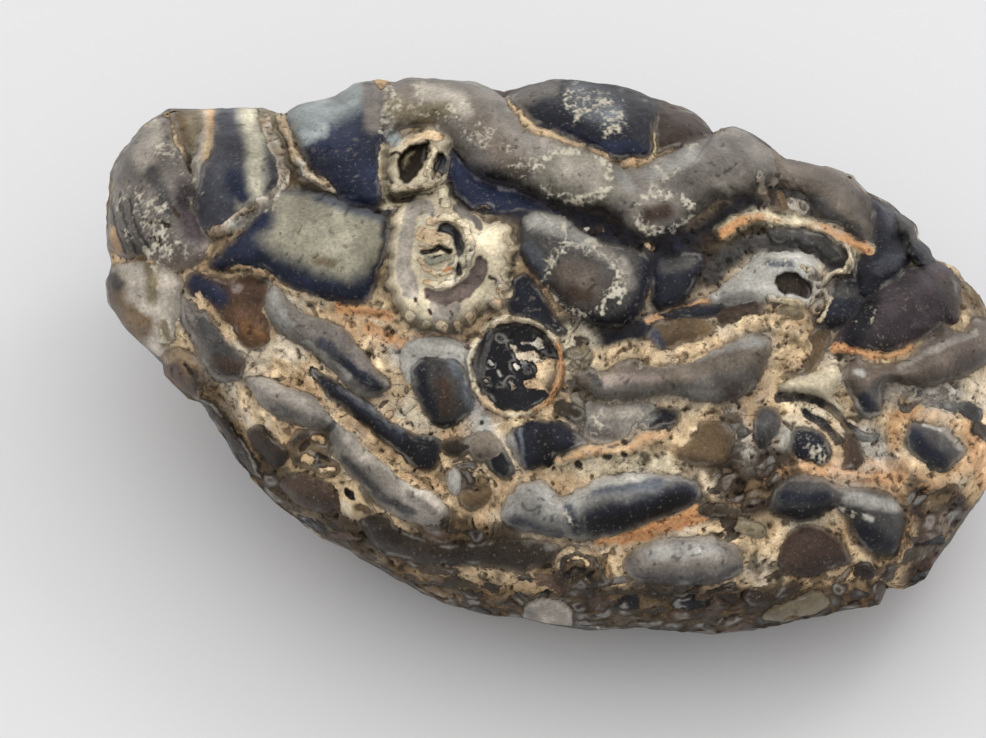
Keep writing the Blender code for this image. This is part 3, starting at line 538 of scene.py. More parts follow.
        (755, 415), (758, 405), (770, 402), (780, 410), (781, 422), (773, 436), (765, 446), (757, 440),
        (754, 428)], [
    ]),
    "gravel lobe": (1.4, 1.8, "ink", [
        (793, 426), (805, 421), (820, 427), (830, 440), (832, 452), (824, 462), (808, 459), (796, 449),
        (791, 438)], [
    ]),
    "crescent": (1.3, 1.2, "umber", [
        (840, 428), (852, 430), (862, 440), (865, 454), (856, 466), (844, 466), (848, 452), (845, 440)], [
    ]),
    "cream fan": (1.2, 1.8, "bone", [
        (778, 385), (795, 373), (818, 366), (836, 360), (843, 370), (838, 382), (832, 392), (845, 405),
        (838, 408), (822, 396), (800, 391)], [
    ]),
    "brown seam": (0.8, 1.2, "tobacco", [
        (784, 373), (796, 360), (806, 345), (813, 325), (824, 322), (829, 335), (825, 350), (815, 365),
        (800, 374)], [
    ]),
    "ringed egg": (1.7, 2.2, "graphite", [
        (904, 428), (910, 417), (926, 416), (946, 422), (961, 434), (966, 446), (957, 457), (946, 465),
        (930, 463), (915, 453), (906, 441)], [
        ("dove", 4, [(944, 424), (962, 440)]),
        ("ash", 2, [(924, 418), (944, 423)]),
        ("ink", 9, [(914, 428), (928, 444), (944, 456)]),
    ]),
    "edge bead": (0.9, 1.0, "graphite", [
        (924, 401), (940, 394), (956, 396), (958, 405), (946, 411), (930, 409)], [
    ]),
    "bent bean": (2.8, 3.2, "graphite", [
        (771, 504), (774, 490), (784, 478), (800, 470), (822, 472), (838, 480), (858, 483), (878, 483),
        (894, 488), (904, 500), (907, 516), (905, 532), (897, 546), (884, 550), (869, 544), (857, 530),
        (848, 514), (840, 503), (828, 507), (815, 515), (798, 517), (782, 513)], [
        ("smoke", 4, [(792, 474), (825, 474), (846, 484)]),
        ("coal", 8, [(785, 510), (832, 506)]),
        ("ash", 8, [(852, 494), (896, 498)]),
        ("graphite", 10, [(846, 512), (900, 520)]),
        ("ink", 13, [(866, 528), (888, 540)]),
        ("pearl", 3, [(869, 513), (873, 514)]),
        ("ink", 7, [(786, 494), (826, 492)]),
    ]),
    "umber lobe": (1.8, 2.4, "liver", [
        (781, 560), (783, 545), (793, 529), (804, 522), (825, 521), (838, 530), (850, 545), (854, 558),
        (840, 563), (820, 570), (800, 573), (788, 568)], [
    ]),
    "lower umber": (0.9, 1.2, "bark", [
        (747, 592), (758, 587), (775, 591), (785, 582), (800, 577), (805, 583), (790, 592), (778, 602),
        (762, 605), (750, 601)], [
    ]),
    "olive foot": (1.4, 2.0, "olive", [
        (764, 614), (780, 600), (800, 592), (820, 587), (832, 594), (826, 604), (806, 612),
        (782, 618)], [
    ]),
    "amber lobe": (1.7, 2.2, "amber", [
        (183, 286), (191, 277), (210, 279), (228, 284), (242, 279), (262, 280), (269, 288), (264, 300),
        (262, 312), (268, 332), (267, 346), (257, 351), (246, 350), (232, 340), (216, 322), (201, 304),
        (188, 297)], [
        ("navy", 13, [(188, 284), (216, 300)]),
        ("rose", 4, [(234, 292), (237, 292)]),
        ("bark", 5, [(258, 284), (266, 284)]),
        ("honey", 9, [(244, 330), (258, 342)]),
    ]),
    "slug": (2.2, 2.4, "smoke", [
        (177, 312), (182, 303), (192, 308), (198, 316), (208, 318), (222, 335), (240, 352), (246, 366),
        (242, 380), (230, 386), (215, 384), (203, 370), (195, 352), (186, 338), (180, 328)], [
        ("graphite", 13, [(204, 330), (228, 360)]),
        ("umber", 11, [(218, 368), (236, 374)]),
        ("dove", 5, [(180, 310), (190, 328)]),
    ]),
    "blue slope": (2.0, 2.4, "smoke", [
        (264, 296), (275, 290), (286, 302), (305, 316), (325, 322), (345, 330), (358, 350), (376, 370),
        (389, 384), (381, 398), (364, 400), (345, 386), (320, 363), (296, 346), (274, 332),
        (266, 314)], [
        ("ash", 10, [(268, 298), (284, 330)]),
        ("slate", 8, [(322, 344), (345, 360), (372, 388)]),
        ("ink", 7, [(345, 366), (378, 390)]),
        ("ash", 3, [(305, 344), (350, 380)]),
        ("smoke", 5, [(290, 318), (330, 338), (364, 368)]),
    ]),
    "long sausage": (2.5, 2.4, "dove", [
        (245, 383), (262, 380), (290, 390), (315, 398), (334, 410), (348, 426), (369, 446), (390, 463),
        (411, 474), (430, 487), (446, 502), (450, 517), (438, 525), (411, 522), (388, 511), (367, 493),
        (350, 476), (338, 461), (330, 446), (324, 434), (305, 429), (283, 425), (266, 413),
        (254, 398)], [
        ("pewter", 11, [(352, 446), (400, 482), (438, 508)]),
        ("graphite", 5, [(345, 462), (380, 494), (412, 514)]),
        ("smoke", 8, [(266, 412), (300, 424)]),
        ("graphite", 4, [(324, 436), (335, 424), (338, 414)]),
        ("smoke", 5, [(410, 496), (436, 512)]),
    ]),
    "dark channel": (1.0, 1.6, "coal", [
        (309, 369), (325, 376), (345, 389), (364, 401), (385, 418), (405, 430), (425, 436), (441, 441),
        (441, 462), (431, 473), (415, 469), (398, 454), (375, 437), (352, 417), (330, 401),
        (314, 386)], [
        ("ink", 6, [(325, 386), (364, 412), (400, 440)]),
        ("slate", 3, [(340, 390), (372, 412), (400, 432)]),
    ]),
    "cell one": (0.9, 1.0, "bark", [
        (442, 443), (455, 439), (470, 442), (473, 450), (463, 458), (450, 457), (444, 452)], [
    ]),
    "cell two": (1.3, 1.4, "taupe", [
        (466, 440), (478, 433), (490, 431), (500, 440), (504, 455), (490, 463), (475, 461),
        (468, 450)], [
    ]),
    "cell three": (1.0, 1.2, "coal", [
        (488, 455), (500, 446), (510, 456), (516, 470), (505, 479), (493, 473), (487, 463)], [
    ]),
    "cell four": (1.1, 1.0, "ash", [
        (449, 474), (457, 469), (464, 478), (462, 490), (455, 495), (448, 486)], [
    ]),
    "cell five": (1.1, 1.2, "tobacco", [
        (461, 492), (470, 487), (480, 490), (491, 487), (491, 498), (481, 508), (470, 511),
        (460, 502)], [
    ]),
    "flank slug": (1.3, 1.2, "bark", [
        (198, 402), (212, 406), (226, 420), (240, 440), (252, 458), (266, 482), (252, 476), (238, 458),
        (222, 438), (206, 418)], [
    ]),
    "flank bead": (1.2, 1.4, "bark", [
        (250, 434), (262, 429), (274, 440), (287, 450), (289, 463), (278, 471), (265, 463),
        (254, 450)], [
    ]),
    "ringed knot": (1.0, 1.2, "tobacco", [
        (288, 448), (298, 434), (314, 431), (328, 434), (336, 446), (332, 458), (340, 470), (330, 480),
        (312, 473), (300, 470), (290, 460)], [
        ("soil", 4, [(294, 446), (308, 438), (324, 440)]),
        ("dirt", 3, [(300, 455), (316, 450), (326, 458)]),
        ("bark", 4, [(296, 464), (312, 463), (324, 470)]),
    ]),
    "flank lobe": (1.3, 1.6, "umber", [
        (282, 487), (294, 477), (315, 479), (335, 489), (342, 505), (326, 515), (305, 511),
        (290, 501)], [
    ]),
    "bored end": (1.5, 1.4, "sand", [
        (340, 497), (348, 484), (361, 485), (371, 500), (376, 513), (362, 523), (350, 519),
        (342, 509)], [
        ("dirt", 4, [(358, 508), (368, 514)]),
        ("bone", 4, [(344, 504), (352, 512)]),
        ("tobacco", 2.5, [(362, 490), (370, 502)]),
    ]),
    "dark flank": (1.5, 2.2, "bark", [
        (364, 521), (385, 514), (400, 528), (425, 538), (450, 545), (480, 542), (515, 538), (550, 542),
        (568, 552), (545, 566), (510, 572), (480, 566), (440, 566), (400, 560), (375, 545)], [
    ]),
    "ringed pocket": (1.3, 1.6, "bark", [
        (556, 560), (562, 547), (582, 544), (602, 551), (612, 566), (612, 580), (595, 588), (572, 588),
        (558, 577)], [
        ("tobacco", 5, [(572, 566), (588, 560), (600, 572)]),
    ]),
    "pale foot": (1.3, 1.6, "dove", [
        (526, 606), (545, 598), (565, 600), (576, 610), (574, 626), (550, 629), (530, 624)], [
    ]),
    "left pocket": (1.3, 1.6, "tobacco", [
        (160, 362), (171, 354), (190, 355), (201, 366), (203, 385), (200, 404), (188, 400), (173, 388),
        (162, 376)], [
        ("umber", 9, [(174, 374), (192, 394)]),
        ("dirt", 4, [(166, 364), (180, 359), (194, 364)]),
        ("bark", 5, [(192, 376), (198, 392)]),
    ]),
}

# The tones of its chalcedony, crust and stains are red, green and blue up to 255.
TONES = {
    "navy": (36, 42, 61), "ink": (34, 36, 45), "slate": (68, 70, 78), "steel": (92, 97, 104),
    "smoke": (106, 101, 96), "graphite": (68, 67, 66), "dove": (128, 123, 116), "taupe": (114, 105, 95),
    "ash": (148, 147, 142), "pearl": (180, 179, 172), "mist": (140, 149, 149), "milk": (146, 143, 126),
    "whey": (190, 186, 166), "honey": (108, 80, 56), "liver": (57, 46, 41),
    "bone": (204, 193, 166), "cream": (220, 196, 160), "sand": (188, 166, 132), "olive": (112, 103, 84),
    "tobacco": (96, 80, 60), "umber": (68, 56, 48), "bark": (50, 43, 37), "dirt": (120, 104, 84),
    "plum": (64, 57, 60), "mauve": (116, 103, 98), "rose": (142, 130, 122), "amber": (86, 66, 52),
    "orange": (214, 168, 122), "rust": (190, 128, 84), "chalk": (214, 210, 198), "coal": (24, 24, 28),
    "ivory": (222, 208, 180), "pewter": (164, 157, 146), "tan": (178, 146, 110), "soil": (62, 54, 44),
    "peach": (226, 186, 146), "fawn": (94, 85, 78),
}

# A place outside all the swellings counts as FAR millimetres outside them until one comes nearer, and
# takes the tone of the nearest one within TONE_REACH. A brush stroke is full out to BRUSH_CORE of its
# half width, and fades out at BRUSH_REACH of it.
FAR = 2.0
TONE_REACH = 1.6
BRUSH_CORE = 0.3
BRUSH_REACH = 1.45


def linear(tone):
    """A named tone as linear red, green and blue."""
    return (np.array(TONES[tone]) / 255) ** 2.2


def smooth_line(points, closed=False, steps=5):
    """A Catmull-Rom curve through the points, as an array."""
    points = np.array(points, float)
    if closed:
        padded = np.vstack([points[-1:], points, points[:2]])
    else:
        padded = np.vstack([2 * points[0] - points[1], points, 2 * points[-1] - points[-2]])
    line = []
    for before, start, end, after in zip(padded, padded[1:], padded[2:], padded[3:]):
        for t in np.arange(steps) / steps:
            line.append(
                start
                + 0.5 * t * (end - before)
                + t * t * (before - 2.5 * start + 2 * end - 0.5 * after)
                + t**3 * 0.5 * (3 * start - before - 3 * end + after)
            )
    if not closed:
        line.append(points[-1])
    return np.array(line)


def line_distance(places, line):
    """The distance of each place from a line of points."""
    nearest = np.full(len(places), np.inf)
    for start, end in zip(line, line[1:]):
        along = end - start
        t = np.clip((places - start) @ along / max(along @ along, 1e-12), 0, 1)
        gap = places - start - t[:, None] * along
        nearest = np.minimum(nearest, np.hypot(gap[:, 0], gap[:, 1]))
    return nearest


def inside_distance(places, outline):
    """The distance of each place from a closed outline, positive inside it."""
    ring = np.vstack([outline, outline[:1]])
    inside = np.zeros(len(places), bool)
    for (x0, y0), (x1, y1) in zip(ring, ring[1:]):
        crosses = (y0 > places[:, 1]) != (y1 > places[:, 1])
        at = x0 + (places[:, 1] - y0) * (x1 - x0) / ((y1 - y0) or 1e-12)
        inside ^= crosses & (places[:, 0] < at)
    return np.where(inside, 1, -1) * line_distance(places, ring)


def near(places, line, margin):
    """Which places lie in the box of a line, widened by a margin."""
    low = line.min(axis=0) - margin
    high = line.max(axis=0) + margin
    return np.flatnonzero(((places > low) & (places < high)).all(axis=1))


def dome(inward, shoulder):
    """A rounded rise from an edge to a top that starts one shoulder in."""
    t = np.clip(inward / shoulder, 0, 1)
    return np.sqrt(t * (2 - t))


def brush(places, half_width, pixels):
    """How strongly a soft brush stroke along these pixels covers each place, and which it touches."""
    line = to_plane(smooth_line(pixels))
    width = half_width * MM_PER_PIXEL
    which = near(places, line, width * BRUSH_REACH)
    return which, 1 - ease(line_distance(places[which], line), width * BRUSH_CORE, width * BRUSH_REACH)


def paint(colours, places, strokes):
    """Lays strokes of named tones over the colours."""
    for tone, half_width, pixels in strokes:
        which, cover = brush(places, half_width, pixels)
        colours[which] += cover[:, None] * (linear(tone) - colours[which])


face_relief = np.zeros(len(strayed))
best = np.full(len(strayed), -np.inf)
inside = np.full(len(strayed), -FAR)
tone = np.tile(linear("smoke"), (len(strayed), 1))
for rise, shoulder, name, pixels, strokes in SWELLINGS.values():
    outline = to_plane(smooth_line(pixels, closed=True))
    which = near(strayed, outline, TONE_REACH)
    inward = inside_distance(strayed[which], outline)
    swell = rise * dome(inward, shoulder)
    face_relief[which] = np.maximum(face_relief[which], swell)
    inside[which] = np.maximum(inside[which], inward)
    rank = np.where(inward > 0, 1 + swell, inward)
    wins = rank > best[which]
    owned = which[wins]
    best[owned] = rank[wins]
    colours = np.tile(linear(name), (len(owned), 1))
    paint(colours, strayed[owned], strokes)
    tone[owned] = colours


# The veins: thin walls of crust that stand up between the swellings. Each has its height and half
# width in millimetres, how rusty it is, and its line. Iron has stained the crust elsewhere too, where
# STAINS lie: amount, half width in pixels, line.
VEINS = {
    "orange vein": (2.0, 0.5, 0.12, [
        (277, 114), (281, 130), (287, 150), (298, 166), (310, 182), (322, 188), (330, 196)]),
    "top vein": (1.4, 0.32, 0.25, [
        (503, 99), (515, 112), (530, 127), (550, 134), (575, 144), (600, 153), (612, 160),
        (630, 161), (646, 158), (651, 148), (651, 133)]),
    "hood vein": (1.2, 0.7, 0.1, [
        (720, 229), (735, 218), (757, 211), (775, 216), (800, 219), (822, 222), (845, 234),
        (868, 243)]),
    "upper left vein": (1.0, 0.35, 0.3, [
        (284, 290), (310, 300), (335, 306), (365, 310), (395, 316)]),
    "thread by the cloud": (0.7, 0.2, 0.3, [
        (228, 276), (236, 270), (250, 273), (268, 278), (284, 290)]),
    "left vein": (0.8, 0.5, 0.2, [
        (196, 300), (213, 320), (232, 342), (250, 357), (275, 360), (302, 374), (320, 396),
        (338, 416), (358, 438), (383, 460), (410, 480), (436, 490), (455, 507)]),
    "middle vein": (1.2, 0.55, 0.5, [
        (560, 460), (590, 451), (620, 448), (645, 437), (665, 432)]),
    "rust vein": (0.8, 0.45, 0.9, [
        (600, 540), (625, 533), (650, 525), (672, 517), (700, 507)]),
    "plum vein": (1.0, 0.5, 0.7, [
        (835, 343), (860, 347), (885, 349), (912, 342)]),
    "bean rim": (1.0, 0.5, 0.3, [
        (768, 480), (785, 467), (810, 463), (840, 470), (875, 472), (900, 480), (912, 500),
        (912, 530), (898, 554), (878, 556), (858, 546), (846, 524), (838, 512)]),
    "egg rim": (1.0, 0.9, 0.35, [
        (896, 432), (904, 408), (928, 406), (952, 414), (974, 430), (976, 450), (960, 468),
        (940, 474), (918, 466), (902, 450), (896, 432)]),
    "loop": (1.4, 0.4, 0.1, [
        (845, 243), (849, 256), (840, 266), (827, 268), (821, 280), (824, 292), (815, 304)]),
    "cream bank": (1.3, 0.9, 0.2, [
        (640, 346), (660, 356), (690, 350), (720, 334), (745, 322), (770, 318), (795, 326),
        (805, 345), (792, 360)]),
}
STAINS = [
    (0.75, 6, [(842, 232), (868, 245)]),
    (0.6, 6, [(822, 222), (842, 232)]),
    (0.4, 6, [(804, 220), (822, 222)]),
    (0.8, 6, [(721, 230), (740, 217)]),
    (0.6, 6, [(740, 217), (760, 212)]),
    (0.4, 6, [(760, 212), (778, 216)]),
    (0.7, 8, [(340, 308), (388, 317)]),
    (0.45, 10, [(820, 464), (860, 472), (900, 472)]),
    (0.9, 9, [(624, 536), (660, 527), (704, 511)]),
    (0.5, 6, [(958, 538), (964, 542)]),
    (0.6, 9, [(368, 330), (402, 346)]),
    (0.35, 7, [(402, 338), (466, 338)]),
    (0.6, 5, [(442, 138), (452, 146)]),
    (0.35, 16, [(300, 320), (360, 330)]),
    (0.4, 8, [(600, 448), (620, 444)]),
    (0.5, 7, [(413, 272), (424, 282)]),
    (0.5, 6, [(494, 290), (500, 302)]),
    (0.6, 5, [(558, 345), (560, 372), (548, 402)]),
    (0.4, 14, [(900, 430), (905, 410), (960, 420), (975, 450), (930, 474)]),
    (0.4, 8, [(768, 480), (786, 466)]),
    (0.6, 5, [(648, 318), (706, 298)]),
]
VEIN_STAIN_REACH = 0.9
VEIN_RAGS = 0.3
RAGS = (1.7, 41)


def dust(places, strokes):
    """The strongest of some strokes at each place, each with an amount of its own."""
    amount = np.zeros(len(places))
    for strength, half_width, pixels in strokes:
        which, cover = brush(places, half_width, pixels)
        amount[which] = np.maximum(amount[which], strength * cover)
    return amount


crust = -inside
stain = dust(strayed, STAINS)
ragged = noise(np.hstack([strayed, np.zeros((len(strayed), 1))]), *RAGS)
for rise, half_width, rusty, pixels in VEINS.values():
    line = to_plane(smooth_line(pixels))
    which = near(strayed, line, VEIN_STAIN_REACH)
    gap = line_distance(strayed[which], line) + VEIN_RAGS * ragged[which]
    face_relief[which] = np.maximum(face_relief[which], rise * dome(half_width - gap, half_width))
    crust[which] = np.maximum(crust[which], half_width - gap)
    stain[which] = np.maximum(stain[which], rusty * (1 - ease(gap, 0, VEIN_STAIN_REACH)))


# The bed that fills the hollows between the swellings: dark chalcedony above, and cream crust lower down
# that is darker towards the ground. Tone, half width in pixels, line.
BEDS = [
    ("ink", 34, [(452, 160), (500, 190), (560, 215), (610, 232), (660, 246), (705, 236), (745, 205)]),
    ("navy", 20, [(450, 165), (490, 192), (530, 208)]),
    ("ink", 10, [(300, 192), (345, 208), (384, 214)]),
    ("umber", 9, [(186, 120), (190, 196)]),
    ("ink", 22, [(512, 292), (545, 325), (600, 336), (640, 328)]),
    ("ink", 18, [(655, 262), (690, 268), (662, 300)]),
    ("graphite", 26, [(770, 175), (800, 190), (845, 225), (875, 245)]),
    ("soil", 24, [(704, 268), (722, 246), (760, 228), (800, 236)]),
    ("pewter", 7, [(748, 240), (768, 238), (800, 242), (826, 256)]),
    ("graphite", 12, [(712, 270), (735, 248), (770, 240), (806, 250), (836, 262)]),
    ("ink", 26, [(848, 255), (862, 290), (850, 335)]),
    ("ink", 8, [(650, 322), (690, 302), (724, 300)]),
    ("peach", 4, [(648, 318), (680, 306), (708, 297)]),
    ("pearl", 20, [(404, 350), (440, 344), (478, 372), (480, 425)]),
    ("bone", 12, [(392, 388), (404, 410), (430, 434)]),
    ("bone", 22, [(575, 345), (588, 390)]),
    ("pewter", 22, [(585, 420), (640, 414)]),
    ("pewter", 14, [(735, 408), (748, 452), (780, 452), (788, 430)]),
    ("bone", 12, [(565, 468), (620, 462), (680, 458)]),
    ("tobacco", 24, [(205, 392), (250, 468), (320, 520), (400, 560)]),
    ("dirt", 26, [(188, 412), (243, 492), (318, 550), (405, 592)]),
    ("sand", 9, [(262, 428), (285, 470), (338, 480)]),
    ("soil", 34, [(205, 480), (290, 560), (400, 615)]),
    ("tobacco", 18, [(430, 528), (520, 548), (600, 592)]),
    ("tobacco", 26, [(390, 592), (480, 600), (560, 608), (700, 606), (870, 596)]),
    ("soil", 16, [(400, 612), (560, 632), (700, 634), (860, 618)]),
    ("bark", 20, [(728, 464), (752, 498)]),
    ("bark", 12, [(760, 478), (766, 500)]),
    ("umber", 13, [(712, 508), (745, 508)]),
    ("olive", 11, [(742, 520), (766, 520)]),
    ("umber", 12, [(762, 460), (788, 455)]),
    ("pewter", 16, [(885, 390), (950, 388)]),
    ("pewter", 16, [(868, 432), (888, 460)]),
    ("umber", 20, [(922, 490), (932, 530), (918, 575)]),
    ("peach", 14, [(800, 466), (896, 468)]),
    ("peach", 14, [(975, 420), (985, 470)]),
    ("tan", 7, [(893, 440), (898, 412), (914, 402)]),
    ("dirt", 12, [(965, 270), (982, 320)]),
    ("bone", 8, [
        (722, 228), (740, 217), (757, 211), (775, 216), (800, 219), (822, 222), (845, 234), (868, 243)]),
    ("cream", 8, [(598, 356), (640, 345), (690, 346), (722, 332), (762, 322)]),
    ("cream", 9, [(384, 328), (402, 338)]),
    ("umber", 20, [(952, 494), (970, 530), (956, 572), (930, 594)]),
    ("soil", 20, [(196, 425), (232, 470), (262, 505)]),
]
bed = np.tile(linear("cream"), (len(strayed), 1))
paint(bed, strayed, BEDS)


